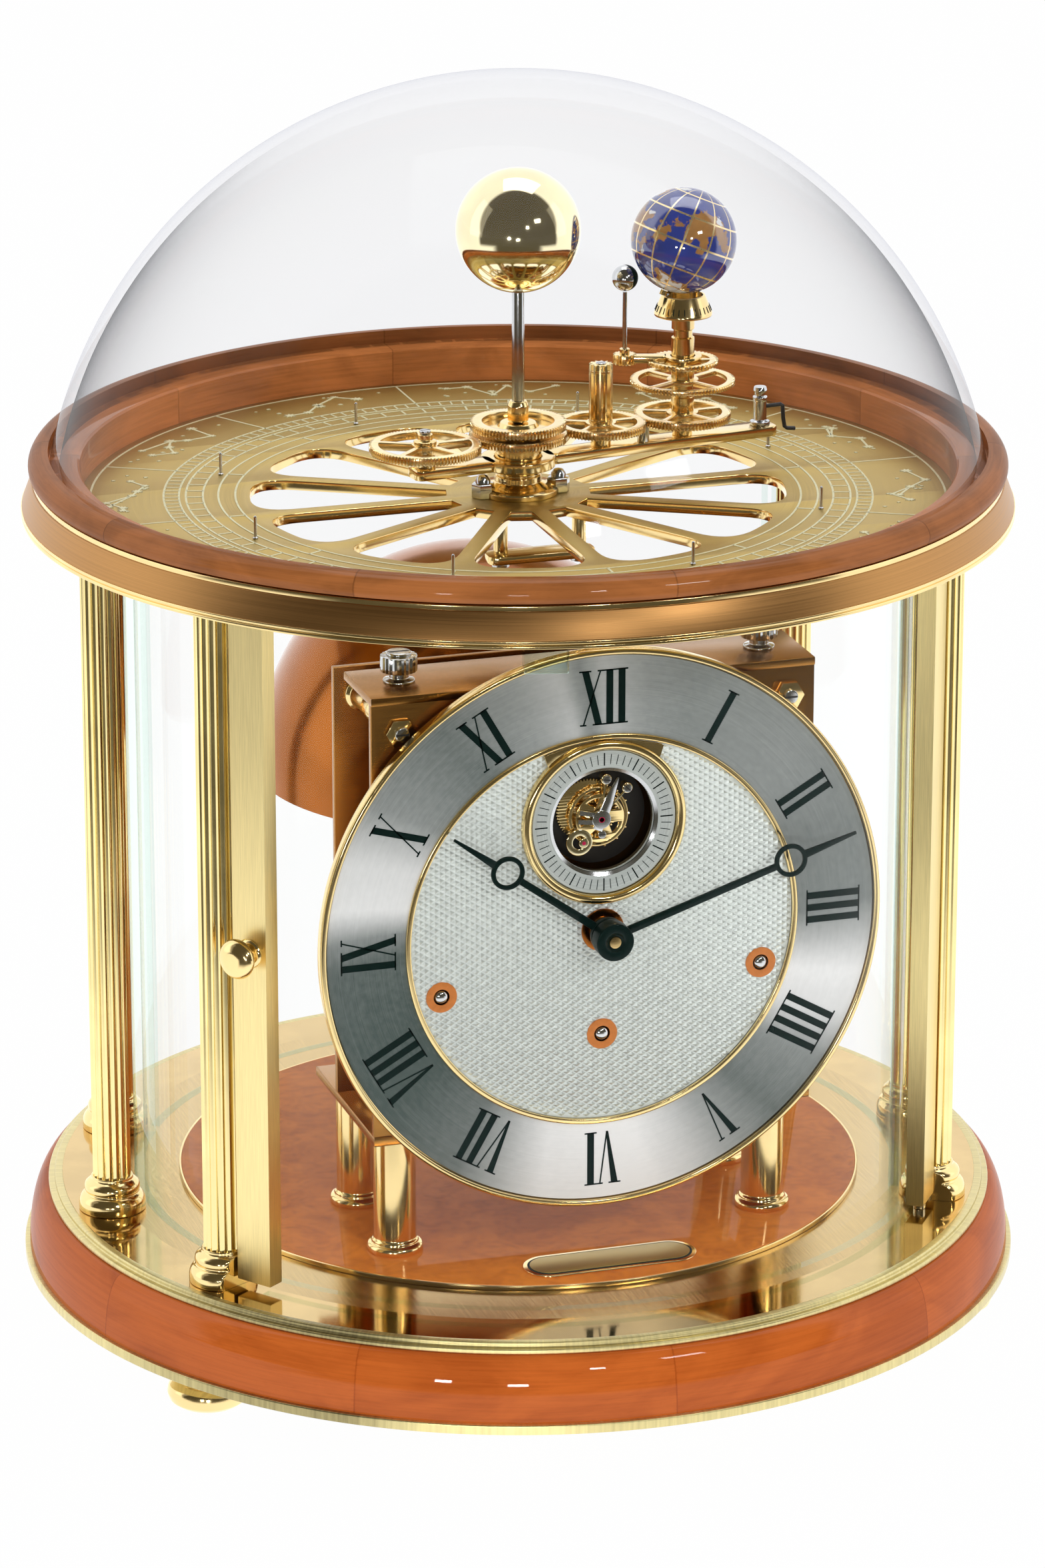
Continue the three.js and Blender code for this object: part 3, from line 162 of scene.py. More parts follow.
class Wire:
    """An output socket of a node tree. Arithmetic on it adds Math nodes; node() adds any other node."""

    def __init__(self, tree, socket=None):
        self.tree = tree
        self.socket = socket

    def node(self, kind, inputs=None, out=0, **settings):
        """Adds a node: its settings first, then the values or links of its sockets."""
        node = self.tree.nodes.new(kind)
        for name, value in settings.items():
            setattr(node, name, value)
        for key, value in (inputs or {}).items():
            if isinstance(value, Wire):
                self.tree.links.new(value.socket, node.inputs[key])
            else:
                node.inputs[key].default_value = value
        return Wire(self.tree, node.outputs[out] if len(node.outputs) else None)

    def other(self, out):
        """Another output of the same node."""
        return Wire(self.tree, self.socket.node.outputs[out])

    def math(self, operation, *values):
        return self.node("ShaderNodeMath", dict(enumerate((self, *values))), operation=operation)

    def flipped(self, operation, first):
        return self.node("ShaderNodeMath", {0: first, 1: self}, operation=operation)

    __add__ = __radd__ = partialmethod(math, "ADD")
    __mul__ = __rmul__ = partialmethod(math, "MULTIPLY")
    __sub__, __rsub__ = partialmethod(math, "SUBTRACT"), partialmethod(flipped, "SUBTRACT")
    __truediv__, __rtruediv__ = partialmethod(math, "DIVIDE"), partialmethod(flipped, "DIVIDE")
    __pow__ = partialmethod(math, "POWER")
    __gt__ = partialmethod(math, "GREATER_THAN")
    __lt__ = partialmethod(math, "LESS_THAN")

    def ramp(self, low, high):
        """0 below low, 1 above high, smooth between."""
        inputs = {"Value": self, "From Min": low, "From Max": high}
        return self.node("ShaderNodeMapRange", inputs, interpolation_type="SMOOTHSTEP")

    def sheen(self, stops):
        """A painted shine that runs through (place, shine) stops while this value goes from 0 to 1."""
        painted_fan = self.node("ShaderNodeValToRGB", {0: self})
        elements = painted_fan.socket.node.color_ramp.elements
        while len(elements) < len(stops):
            elements.new(1.0)
        for element, (place, shine) in zip(elements, stops):
            element.position = place
            element.color = (shine, shine, shine, 1)
        return painted_fan

    def blend(self, first, second):
        """A mix of two colours by this value."""
        inputs = {0: self}
        for key, value in ((6, first), (7, second)):
            inputs[key] = value if isinstance(value, Wire) else (*value[:3], 1)
        return self.node("ShaderNodeMix", inputs, 2, data_type="RGBA")

    def shades(self, tone, first, second):
        """A mix of two shades of one tone by this value."""
        return self.blend(shade_of(tone, first), shade_of(tone, second))


def finish_named(name):
    """A finish of the clock; the frame brings materials of its own, so the names differ."""
    return bpy.data.materials["clock_" + name]


def as_finish(shader_of):
    """Turns a function that returns a shader into one that makes a finish under a name."""
    def make(name, *values, **named):
        material = bpy.data.materials.new("clock_" + name)
        material.use_nodes = True
        material.node_tree.nodes.clear()
        shader = shader_of(Wire(material.node_tree), *values, **named)
        shader.node("ShaderNodeOutputMaterial", {"Surface": shader})
        return material

    return make


def millimetres(graph, centre=(0, 0, 0)):
    """Object coordinates in millimetres, measured from a centre."""
    place = graph.node("ShaderNodeTexCoord", out=3)
    move = {"Vector": place, "Location": [-c for c in centre], "Scale": [1 / MM] * 3}
    return graph.node("ShaderNodeMapping", move)


def polar(graph, centre=(0, 0, 0), upright=True):
    """Radius, angle from the front or from the top of the dial, and height along the axis."""
    x = graph.node("ShaderNodeSeparateXYZ", {0: millimetres(graph, centre)})
    y, z = x.other(1), x.other(2)
    ahead, along = (0 - y, z) if upright else (z, 0 - y)
    radius = (x * x + ahead * ahead).math("SQRT")
    return radius, x.math("ARCTAN2", ahead), along


def vector(graph, x, y, z):
    return graph.node("ShaderNodeCombineXYZ", {0: x, 1: y, 2: z})


def noise(place, scale, detail=3.0, roughness=0.5, distortion=0.0):
    inputs = {"Vector": place, "Scale": scale, "Detail": detail, "Roughness": roughness,
              "Distortion": distortion}
    return place.node("ShaderNodeTexNoise", inputs)


def bump(height, strength, distance=0.0002):
    return height.node("ShaderNodeBump", {"Strength": strength, "Distance": distance, "Height": height})


def principled(graph, **sockets):
    """A Principled shader; socket names are written with underscores."""
    inputs = {name.replace("_", " "): value for name, value in sockets.items()}
    if not isinstance(inputs["Base Color"], Wire):
        inputs["Base Color"] = (*inputs["Base Color"][:3], 1)
    return graph.node("ShaderNodeBsdfPrincipled", inputs)


def shade_of(tone, share):
    """A colour made darker or lighter by a share."""
    return [min(1.0, channel * share) for channel in tone]


@as_finish
def polished_metal(graph, tone, roughness):
    """Polished metal with faint clouds of wear in its lacquer."""
    place = millimetres(graph)
    clouds = noise(place, 0.05, 4)
    specks = noise(place, 1.1, 2)
    tint = clouds.ramp(0.35, 0.7).shades(tone, 0.9, 1.04)
    rough = clouds * 0.10 + specks * 0.04 + (roughness - 0.06)
    return principled(graph, Base_Color=tint, Metallic=1.0, Roughness=rough)


@as_finish
def turned_metal(graph, tone, roughness, centre=(0, 0, 0), upright=True, depth=0.12, metallic=1.0):
    """Metal brushed on the lathe: fine rings round an axis."""
    radius, turn, along = polar(graph, centre, upright)
    rings = noise(vector(graph, radius * 5.0, along * 5.0, turn * 1.2), 1.0, 3, 0.65)
    tint = rings.ramp(0.3, 0.7).shades(tone, 0.84, 1.06)
    rough = rings * 0.2 + (roughness - 0.1)
    return principled(graph, Base_Color=tint, Metallic=metallic, Roughness=rough, Normal=bump(rings, depth))


@as_finish
def drawn_metal(graph, tone, roughness, stretch, depth=0.10):
    """Metal brushed in one direction: the noise is stretched along an axis."""
    place = graph.node("ShaderNodeMapping", {"Vector": millimetres(graph), "Scale": stretch})
    lines = noise(place, 1.0, 3, 0.6)
    tint = lines.ramp(0.3, 0.7).shades(tone, 0.88, 1.05)
    rough = lines * 0.16 + (roughness - 0.08)
    return principled(graph, Base_Color=tint, Metallic=1.0, Roughness=rough, Normal=bump(lines, depth))


# Painted sheen of the chapter ring: brightness by share of a turn round the dial, from VI through IX, XII
# and III.
PAINTED_SHEEN = ((0.0, 1.0), (0.04, 0.9), (0.07, 0.42), (0.095, 0.12), (0.15, 0.0), (0.20, 0.02), (0.245, 0.05),
         (0.262, 0.22), (0.28, 0.85), (0.31, 0.75), (0.345, 0.24), (0.40, 0.10), (0.45, 0.30),
         (0.475, 0.50), (0.487, 0.18), (0.502, 0.45), (0.53, 0.26), (0.56, 0.20), (0.64, 0.24),
         (0.70, 0.18), (0.75, 0.17), (0.772, 0.5), (0.795, 0.95), (0.82, 0.8), (0.85, 0.22), (0.89, 0.10),
         (0.925, 0.36), (0.95, 0.72), (0.975, 1.0), (1.0, 1.0))


@as_finish
def chapter_silver(graph, tone, centre):
    """Silver brushed in rings, with painted sheen: bright fans in four places round the dial are painted
    into its colour by angle.
    """
    radius, turn, along = polar(graph, centre, upright=False)
    rings = noise(vector(graph, radius * 4.0, along, turn * 0.6), 1.0, 3, 0.6)
    grain = noise(vector(graph, radius * 0.7, along, turn * 34.0), 1.0, 2)
    share = turn / math.tau + 0.5 + (radius - 70.0) * 0.0003
    # Painted sheen: the fans are painted into the colour by angle; the rings and grain add the real
    # brushing.
    painted_fan = share.sheen(PAINTED_SHEEN)
    light = painted_fan + rings * 0.14 + grain * 0.10 - 0.12
    tint = light.shades(tone, 0.20, 3.4)
    rough = 0.48 + rings * 0.08
    return principled(graph, Base_Color=tint, Metallic=0.12, Roughness=rough, Normal=bump(rings, 0.12))


# Painted sheen of the turned rims: brightness by share of a turn round the case, half at the front.
RIM_PAINTED_SHEEN = ((0.0, 0.5), (0.30, 0.62), (0.355, 0.20), (0.40, 0.14), (0.425, 0.85), (0.455, 1.0),
             (0.48, 0.6), (0.56, 0.62), (0.70, 0.5), (1.0, 0.5))


@as_finish
def banded_metal(graph, tone, roughness):
    """A turned edge with upright brush lines, and light and dark bands of painted sheen by angle round it.
    """
    _, turn, along = polar(graph)
    hatch = noise(vector(graph, turn * 150.0, along * 0.05, 0.0), 1.0, 2)
    # Painted sheen: bright and dark bands painted into the colour by angle; the hatch adds the real brush
    # lines.
    painted_fan = (turn / math.tau + 0.5).sheen(RIM_PAINTED_SHEEN)
    tint = (painted_fan * 0.9 + hatch * 0.5 - 0.2).shades(tone, 0.25, 1.15)
    return principled(graph, Base_Color=tint, Metallic=0.9, Roughness=roughness + hatch * 0.1)


@as_finish
def lacquered_wood(graph, light, dark, segments, coat=0.4):
    """Cherry in segments round the axis, grain running round, under a thick clear lacquer."""
    radius, turn, along = polar(graph)
    share = turn * (segments / math.tau)
    segment = share.math("FLOOR")
    own = segment.node("ShaderNodeTexWhiteNoise", {"W": segment}, noise_dimensions="1D")
    run = turn * 3.2 + own * 19.0
    figure = noise(vector(graph, run, along * 0.045, radius * 0.05), 1.0, 4, 0.55, 1.2)
    streaks = noise(vector(graph, run * 1.4, along * 1.1, radius * 1.1), 1.0, 3, 0.6)
    pores = noise(vector(graph, run * 14.0, along * 2.6, radius * 2.6), 1.0, 2).ramp(0.60, 0.72)
    edge = (share - segment - 0.5).math("ABSOLUTE").ramp(0.4965, 0.4985)
    tone = figure.ramp(0.36, 0.66) * 0.5 + streaks.ramp(0.35, 0.7) * 0.28 + own * 0.16
    tint = (tone + pores * 0.15 + edge * 0.5).blend(light, dark)
    return principled(graph, Base_Color=tint, Roughness=0.34 + streaks * 0.12, Specular_IOR_Level=0.0,
                      Coat_Weight=coat, Coat_Roughness=0.02)


@as_finish
def burl_veneer(graph, light, dark):
    """Clouded burl with small dark eyes, under gloss lacquer."""
    place = millimetres(graph)
    clouds = noise(place, 0.035, 5, 0.6, 1.6)
    curl = noise(place, 0.16, 4, 0.65, 2.4)
    eyes = place.node("ShaderNodeTexVoronoi", {"Vector": place, "Scale": 0.09, "Randomness": 1.0})
    spots = 1 - eyes.ramp(0.04, 0.22)
    tone = clouds.ramp(0.35, 0.65) * 0.45 + curl.ramp(0.4, 0.72) * 0.4 + spots * 0.25
    tint = tone.blend(light, dark)
    return principled(graph, Base_Color=tint, Roughness=0.3 + curl * 0.1, Specular_IOR_Level=0.0,
                      Coat_Weight=0.35, Coat_Roughness=0.03)


@as_finish
def clear_glass(graph, tint, body, reflect=0.5, edge=9.0, fade=None):
    """Thin clear glass that tints what is seen along its wall and mirrors at a low angle. The tint can
    fade out between two heights."""
    aslant = graph.node("ShaderNodeLayerWeight", {"Blend": 0.5}, out=1)
    clear = graph.node("ShaderNodeBsdfTransparent", {"Color": (1, 1, 1, 1)})
    dim = graph.node("ShaderNodeBsdfTransparent", {"Color": (*tint[:3], 1)})
    depth = (aslant ** edge) * (1 - body) + body
    if fade:
        depth = depth * (1 - polar(graph)[2].ramp(*fade))
    wall = graph.node("ShaderNodeMixShader", {0: depth, 1: clear, 2: dim})
    mirror = principled(graph, Base_Color=(1, 1, 1), Metallic=1.0, Roughness=0.01)
    share = (aslant ** 5.0) * reflect + 0.004
    return graph.node("ShaderNodeMixShader", {0: share, 1: wall, 2: mirror})


@as_finish
def paint(graph, tone, roughness, metallic=0.0, coat=0.0, specular=0.5):
    """Enamel or ink, slightly uneven."""
    clouds = noise(millimetres(graph), 0.6, 3)
    tint = clouds.shades(tone, 0.75, 1.25)
    return principled(graph, Base_Color=tint, Metallic=metallic, Roughness=clouds * 0.1 + roughness,
                      Specular_IOR_Level=specular, Coat_Weight=coat, Coat_Roughness=0.03)


@as_finish
def globe_enamel(graph, sea, land, metal):
    """Blue enamel with a gold net of meridians and parallels, and land inlaid in stone. The UV map holds
    longitude and latitude."""
    u = graph.node("ShaderNodeSeparateXYZ", {0: graph.node("ShaderNodeUVMap", uv_map="globe")})
    v = u.other(1)

    def net(value, lines, width):
        part = (value * lines).math("FRACT") - 0.5
        return part.math("ABSOLUTE").ramp(0.5 - width * lines, 0.5 - width * lines * 0.6)

    lines = net(u, 12.0, 0.0036).math("MAXIMUM", net(v, 6.0, 0.007))
    longitude, latitude = u * math.tau, (v - 0.5) * math.pi
    level = latitude.math("COSINE")
    ball = vector(graph, longitude.math("COSINE") * level, longitude.math("SINE") * level,
                  latitude.math("SINE"))
    masses = noise(ball, 1.35, 5, 0.58)
    ground = masses.ramp(0.545, 0.56)
    grain = noise(ball, 9.0, 4, 0.6)
    soil = grain.shades(land, 0.6, 1.9)
    snow = (noise(ball, 2.4, 3) + latitude.math("ABSOLUTE") * 0.25).ramp(0.72, 0.76)
    soil = snow.blend(soil, SNOW_WHITE)
    water = noise(ball, 3.0, 3).shades(sea, 0.7, 1.5)
    tint = lines.blend(ground.blend(water, soil), metal)
    return principled(graph, Base_Color=tint, Metallic=lines * 0.9, Roughness=0.22 + grain * 0.1,
                      Specular_IOR_Level=0.0, Coat_Weight=1.0, Coat_Roughness=0.02, Coat_IOR=2.1)


@as_finish
def engraved_plate(graph, tone, petal_edge):
    """Matt gold plate whose calendar zone is slightly darker, with fine rings from the lathe."""
    radius, turn, along = polar(graph)
    rings = noise(vector(graph, radius * 3.5, along * 3.0, turn * 2.0), 1.0, 3, 0.7)
    grain = noise(millimetres(graph), 3.0, 2)
    zone = radius.ramp(petal_edge, petal_edge + 2)
    level = rings.ramp(0.3, 0.75) * 0.6 + grain * 0.3 + zone * 0.15
    tint = level.shades(tone, 1.12, 0.78)
    return principled(graph, Base_Color=tint, Metallic=1.0, Roughness=0.34 + grain * 0.16 + zone * 0.05,
                      Normal=bump(rings + grain * 0.5, 0.14))


SNOW_WHITE = (0.78, 0.80, 0.82)
# Black of the date pointer's hook, also used as painted shade in screw slots and behind the seconds window.
BLACK_AND_PAINTED_SHADE = (0.012, 0.010, 0.009)
ENGRAVED_GOLD = (0.96, 0.86, 0.52)
PLATE_ZONE = 80.0
DOME_FADE = (300.0, 350.0)


def make_finishes():
    """Every finish of the clock, under the name that its pieces use."""
    tones = bpy.context.scene.clock_colours
    sizes = bpy.context.scene.clock_sizes
    dial = middle_mm("chapter_ring")
    polished_metal("brass", tones.brass, 0.13)
    polished_metal("gear_brass", tones.gear_brass, 0.2)
    polished_metal("column_brass", shade_of(tones.pale_brass, 1.06), 0.17)
    polished_metal("copper", tones.copper, 0.16)
    polished_metal("nickel", tones.nickel, 0.12)
    polished_metal("bright_gold", tones.sun_gold, 0.06)
    turned_metal("turned_brass", tones.base_gold, 0.20, depth=0.06)
    polished_metal("mirror_gold", shade_of(tones.base_gold, 1.08), 0.07)
    drawn_metal("base_brass", tones.base_gold, 0.20, (4.0, 0.08, 4.0), 0.07)
    # Rims of the plates, with painted sheen bands.
    banded_metal("rim_brass", tones.pale_brass, 0.26)
    drawn_metal("plaque_brass", tones.plate, 0.40, (0.2, 4.0, 4.0), 0.04)
    turned_metal("seconds_silver", shade_of(tones.pearl, 0.6), 0.38, middle_mm("seconds_ring"), False,
                 metallic=0.3)
    drawn_metal("stile_brass", tones.pale_brass, 0.36, (5.0, 5.0, 0.08))
    # Brushed band whose brown tone is partly a painted reflection of the wooden ring and the dark room.
    turned_metal("band_brass", tones.band, 0.36, depth=0.05)
    drawn_metal("plate_brass", tones.movement, 0.24, (0.06, 4.0, 4.0), 0.06)
    # The chapter ring's silver carries painted sheen fans.
    chapter_silver("chapter_silver", tones.silver, dial)
    paint("pearl", shade_of(tones.pearl, 0.8), 0.35, 0.1)
    paint("diamond_silver", shade_of(tones.pearl, 0.78), 0.26, 0.55)
    paint("winding_copper", shade_of(tones.copper, 1.8), 0.35, 0.3)
    engraved_plate("engraved_plate", tones.plate, PLATE_ZONE)
    lacquered_wood("cherry", tones.cherry, tones.cherry_dark, sizes.wood_joints)
    # Painted shade and light: the ring's outside is a darker copy of its wood and its inside a lighter
    # copy.
    lacquered_wood("ring_wood", tones.ring_wood, tones.ring_grain_shaded, sizes.wood_joints, 0.3)
    lacquered_wood("ring_inside", shade_of(tones.ring_wood, 1.7), shade_of(tones.ring_grain_shaded, 1.9),
                   sizes.wood_joints, 0.5)
    burl_veneer("burl", tones.burl, tones.burl_dark)
    clear_glass("glass", tones.glass_edge, 0.015)
    clear_glass("glass_edge", tones.glass_edge, 0.55, 0.8)
    clear_glass("dome_glass", tones.dome_tint, 0.11, 0.45)
    clear_glass("dome_wall", shade_of(tones.dome_tint, 0.35), 0.0, 0.05, 4.5, DOME_FADE)
    paint("ink", tones.ink, 0.30, specular=0.04)
    paint("hand_black", tones.ink, 0.28, 0.1, 0.2, 0.04)
    # The dark finish is the hook's own black and painted shade in screw slots and behind the seconds
    # window.
    paint("dark", BLACK_AND_PAINTED_SHADE, 0.45)
    paint("ruby", tones.ruby, 0.08, 0.0, 1.0)
    paint("engraving", ENGRAVED_GOLD, 0.45, 0.1)
    globe_enamel("globe_enamel", tones.sea, tones.land, tones.brass)


def at(x, y, z=0.0):
    return Matrix.Translation((x, y, z))


def turned_by(degrees, axis="Z"):
    return Matrix.Rotation(math.radians(degrees), 4, axis)


def around(radius, degrees, z=0.0):
    """A place on a circle round the case, turned to look outwards along its own -Y."""
    turn = math.radians(degrees)
    return at(radius * math.sin(turn), -radius * math.cos(turn), z) @ turned_by(degrees)


def facing(x, up, forward=0.0):
    """A place whose own XY plane is seen from the front, with its own Z running forwards."""
    return at(x, -forward, up) @ turned_by(90, "X")


def lathe(profile, steps=96):
    """A profile of (radius, height) points turned round Z; one that ends where it starts makes a ring."""
    ring = profile[0] == profile[-1]
    rows = profile[:-1] if ring else profile
    points, loops, faces = [], [], []
    for radius, height in rows:
        first = len(points)
        if radius < 1e-6:
            points.append((0.0, 0.0, height))
            loops.append([first] * steps)
            continue
        for i in range(steps):
            turn = math.tau * i / steps
            points.append((radius * math.cos(turn), radius * math.sin(turn), height))
        loops.append(list(range(first, first + steps)))
    for low, high in zip(loops, loops[1:] + loops[:1] if ring else loops[1:]):
        for i in range(steps):
            j = (i + 1) % steps
            corners = tuple(dict.fromkeys((low[i], low[j], high[j], high[i])))
            if len(corners) > 2:
                faces.append(corners)
    return points, faces


def eased(points, reach, steps=4, closed=False):
    """A line of points whose corners are rounded over a reach."""
    points = [Vector(p) for p in points]
    line = []
    for i, corner in enumerate(points):
        if not closed and i in (0, len(points) - 1):
            line.append(tuple(corner))
            continue
        before, after = points[i - 1], points[(i + 1) % len(points)]
        start_point = corner + (before - corner).normalized() * min(reach, (before - corner).length / 2)
        end_point = corner + (after - corner).normalized() * min(reach, (after - corner).length / 2)
        for k in range(steps + 1):
            t = k / steps
            line.append(tuple(start_point * (1 - t) ** 2 + corner * 2 * t * (1 - t) + end_point * t * t))
    return line


def scaled(profile, radius, tall, low=0.0):
    """A profile that is given in shares of a radius and a height."""
    return [(r * radius, low + z * tall) for r, z in profile]


def rectangle(left, low, right, high):
    return [(left, low), (right, low), (right, high), (left, high)]


def hoop(points, reach, steps=3):
    """A closed profile with rounded corners, which ends where it starts."""
    loop = eased(points, reach, steps, closed=True)
    return loop + loop[:1]


def circle(radius, steps=48, x=0.0, y=0.0, turn=0.0):
    return [(x + radius * math.cos(turn + math.tau * i / steps),
             y + radius * math.sin(turn + math.tau * i / steps)) for i in range(steps)]


def taken(mesh):
    """Points and faces of a mesh, which is then removed."""
    points = [tuple(v.co) for v in mesh.vertices]
    faces = [tuple(p.vertices) for p in mesh.polygons]
    bpy.data.meshes.remove(mesh)
    return points, faces


def slab(outlines, low, high, bevel=0.0):
    """Flat outlines, holes among them, raised between two heights with bevelled edges."""
    curve = bpy.data.curves.new("outline", "CURVE")
    curve.dimensions = "2D"
    curve.fill_mode = "BOTH"
    curve.extrude = (high - low) / 2 - bevel
    curve.bevel_depth = bevel
    curve.bevel_resolution = 1
    for outline in outlines:
        spline = curve.splines.new("POLY")
        spline.points.add(len(outline) - 1)
        for point, (x, y) in zip(spline.points, outline):
            point.co = (x, y, 0, 1)
        spline.use_cyclic_u = True
    holder = bpy.data.objects.new("outline", curve)
    points, faces = taken(bpy.data.meshes.new_from_object(holder))
    bpy.data.objects.remove(holder)
    bpy.data.curves.remove(curve)
    middle = (low + high) / 2
    return [(x, y, z + middle) for x, y, z in points], faces


def rod(path, radius, sides=12):
    """A round bar along a path, closed at both ends."""
    path = [Vector(p) for p in path]
    points, faces = [], []
    across = (path[1] - path[0]).orthogonal().normalized()
    for i, place in enumerate(path):
        ahead = (path[min(i + 1, len(path) - 1)] - path[max(i - 1, 0)]).normalized()
        across = (across - ahead * across.dot(ahead)).normalized()
        third = ahead.cross(across)
        for k in range(sides):
            turn = math.tau * k / sides
            points.append(tuple(place + radius * (math.cos(turn) * across + math.sin(turn) * third)))
    for i in range(len(path) - 1):
        for k in range(sides):
            j = (k + 1) % sides
            faces.append((i * sides + k, i * sides + j, (i + 1) * sides + j, (i + 1) * sides + k))
    faces.append(tuple(range(sides)))
    faces.append(tuple(range(len(points) - sides, len(points))))
    return points, faces


def ball(radius, steps=64):
    half = steps // 2
    return lathe([(radius * math.sin(math.pi * i / half), -radius * math.cos(math.pi * i / half))
                  for i in range(half + 1)], steps)


def bent_pane(outer, inner, start_angle, end_angle, low, high, steps=64):
    """A pane bent round the axis: its two broad faces, and its four cut edges, as two bodies' faces."""
    points, broad, edges = [], [], []
    for i in range(steps + 1):
        turn = math.radians(start_angle + (end_angle - start_angle) * i / steps)
        for radius, z in ((outer, low), (outer, high), (inner, high), (inner, low)):
            points.append((radius * math.sin(turn), -radius * math.cos(turn), z))
    for i in range(steps):
        a, b = 4 * i, 4 * (i + 1)
        broad += [(a, b, b + 1, a + 1), (a + 2, b + 2, b + 3, a + 3)]
        edges += [(a + 1, b + 1, b + 2, a + 2), (a + 3, b + 3, b, a)]
    edges += [(0, 1, 2, 3), (4 * steps, 4 * steps + 3, 4 * steps + 2, 4 * steps + 1)]
    return points, broad, edges


class Shape:
    """Bodies in millimetres, each face in a named finish, collected for one piece."""

    def __init__(self):
        self.points = []
        self.faces = []
        self.finishes = []
        self.slots = []

    def add(self, body, finish, place=None):
        points, faces = body
        first = len(self.points)
        place = place or Matrix()
        self.points += [place @ Vector(p) for p in points]
        self.faces += [tuple(first + i for i in face) for face in faces]
        if finish not in self.finishes:
            self.finishes.append(finish)
        self.slots += [self.finishes.index(finish)] * len(faces)
        return self

    def turn(self, profile, steps, finish, place=None):
        """Adds a profile turned round Z."""
        return self.add(lathe(profile, steps), finish, place)

    def disc(self, radius, low, high, ease, steps, finish, place=None):
        """Adds a solid disc with eased edges."""
        return self.turn(eased(rectangle(0, low, radius, high), ease), steps, finish, place)

    def ring(self, inner, outer, low, high, ease, steps, finish, place=None):
        """Adds a flat ring with eased edges."""
        return self.turn(hoop(rectangle(inner, low, outer, high), ease), steps, finish, place)

    def raised(self, outlines, low, high, bevel, finish, place=None):
        """Adds a slab."""
        return self.add(slab(outlines, low, high, bevel), finish, place)

    def mesh(self, name, smooth_degrees):
        mesh = bpy.data.meshes.new(name)
        mesh.from_pydata([tuple(p * MM) for p in self.points], [], self.faces)
        for finish in self.finishes:
            mesh.materials.append(finish_named(finish))
        mesh.polygons.foreach_set("material_index", self.slots)
        work = bmesh.new()
        work.from_mesh(mesh)
        bmesh.ops.remove_doubles(work, verts=work.verts, dist=1e-7)
        bmesh.ops.recalc_face_normals(work, faces=work.faces)
        work.to_mesh(mesh)
        work.free()
        mesh.shade_smooth()
        mesh.set_sharp_from_angle(angle=math.radians(smooth_degrees))
        return mesh

    def piece(self, name, body, slot, *replaced, smooth_degrees=34):
        """Makes the piece, rides it on a body, and lets it stand for the frame nodes that it replaces."""
        piece = bpy.data.objects.new(name, self.mesh(name, smooth_degrees))
        bpy.context.scene.collection.objects.link(piece)
        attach(piece, body)
        if replaced:
            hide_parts(*replaced)
        return piece

    def look(self, node, body, slot, **settings):
        """Makes the piece that stands for one node of the frame."""
        return self.piece(node + "_look", body, slot, node, **settings)


def new_tree(name, **inputs):
    """A geometry node tree with inputs named by their kind, as (tree, the wires of its inputs)."""
    tree = bpy.data.node_groups.new(name, "GeometryNodeTree")
    kinds = {label: kind for kind, labels in inputs.items() for label in labels}
    kinds["Material"] = "Material"
    for label, kind in kinds.items():
        tree.interface.new_socket(label, in_out="INPUT", socket_type="NodeSocket" + kind)
    tree.interface.new_socket("Geometry", in_out="OUTPUT", socket_type="NodeSocketGeometry")
    source = tree.nodes.new("NodeGroupInput")
    return tree, {label: Wire(tree, source.outputs[label]) for label in kinds}


def end_tree(geometry, material):
    """Realizes what was made, sets its finish and closes the tree."""
    real = geometry.node("GeometryNodeRealizeInstances", {0: geometry})
    dressed = real.node("GeometryNodeSetMaterial", {"Geometry": real, "Material": material})
    dressed.node("NodeGroupOutput", {0: dressed})


def grown(tree, values):
    """What a tree makes from its inputs' values, as a body in millimetres."""
    holder = bpy.data.objects.new(tree.name, bpy.data.meshes.new(tree.name))
    bpy.context.scene.collection.objects.link(holder)
    modifier = holder.modifiers.new("tree", "NODES")
    modifier.node_group = tree
    for item in tree.interface.items_tree:
        if item.in_out == "INPUT":
            modifier[item.identifier] = values[item.name]
    shown = holder.evaluated_get(bpy.context.evaluated_depsgraph_get())
    points, faces = taken(bpy.data.meshes.new_from_object(shown))
    holder.modifiers.remove(modifier)
    bpy.data.objects.remove(holder)
    if not faces:
        raise RuntimeError(f"{tree.name} made nothing")
    return points, faces


def marker(body):
    """A holder for a small body that a tree copies."""
    mesh = bpy.data.meshes.new("mark")
    mesh.from_pydata(list(body[0]), [], list(body[1]))
    holder = bpy.data.objects.new("mark", mesh)
    bpy.context.scene.collection.objects.link(holder)
    return holder


def copies_round_tree():
    """Copies a mark at even steps round a circle, each turned to look outwards."""
    tree, wire = new_tree("copies_round", Int=["Count"], Float=["Radius", "Start"], Object=["Mark"])
    index = Wire(tree).node("GeometryNodeInputIndex")
    turn = index * (math.tau / wire["Count"]) + wire["Start"]
    place = vector(turn, turn.math("SINE") * wire["Radius"], turn.math("COSINE") * wire["Radius"] * -1.0,
                   0.0)
    spots = turn.node("GeometryNodePoints", {"Count": wire["Count"], "Position": place})
    mark = turn.node("GeometryNodeObjectInfo", {"Object": wire["Mark"]}, out="Geometry")
    facing_out = turn.node("FunctionNodeEulerToRotation", {0: vector(turn, 0.0, 0.0, turn)})
    copies = turn.node("GeometryNodeInstanceOnPoints", {
        "Points": spots, "Instance": mark, "Rotation": facing_out})
    end_tree(copies, wire["Material"])
    return tree


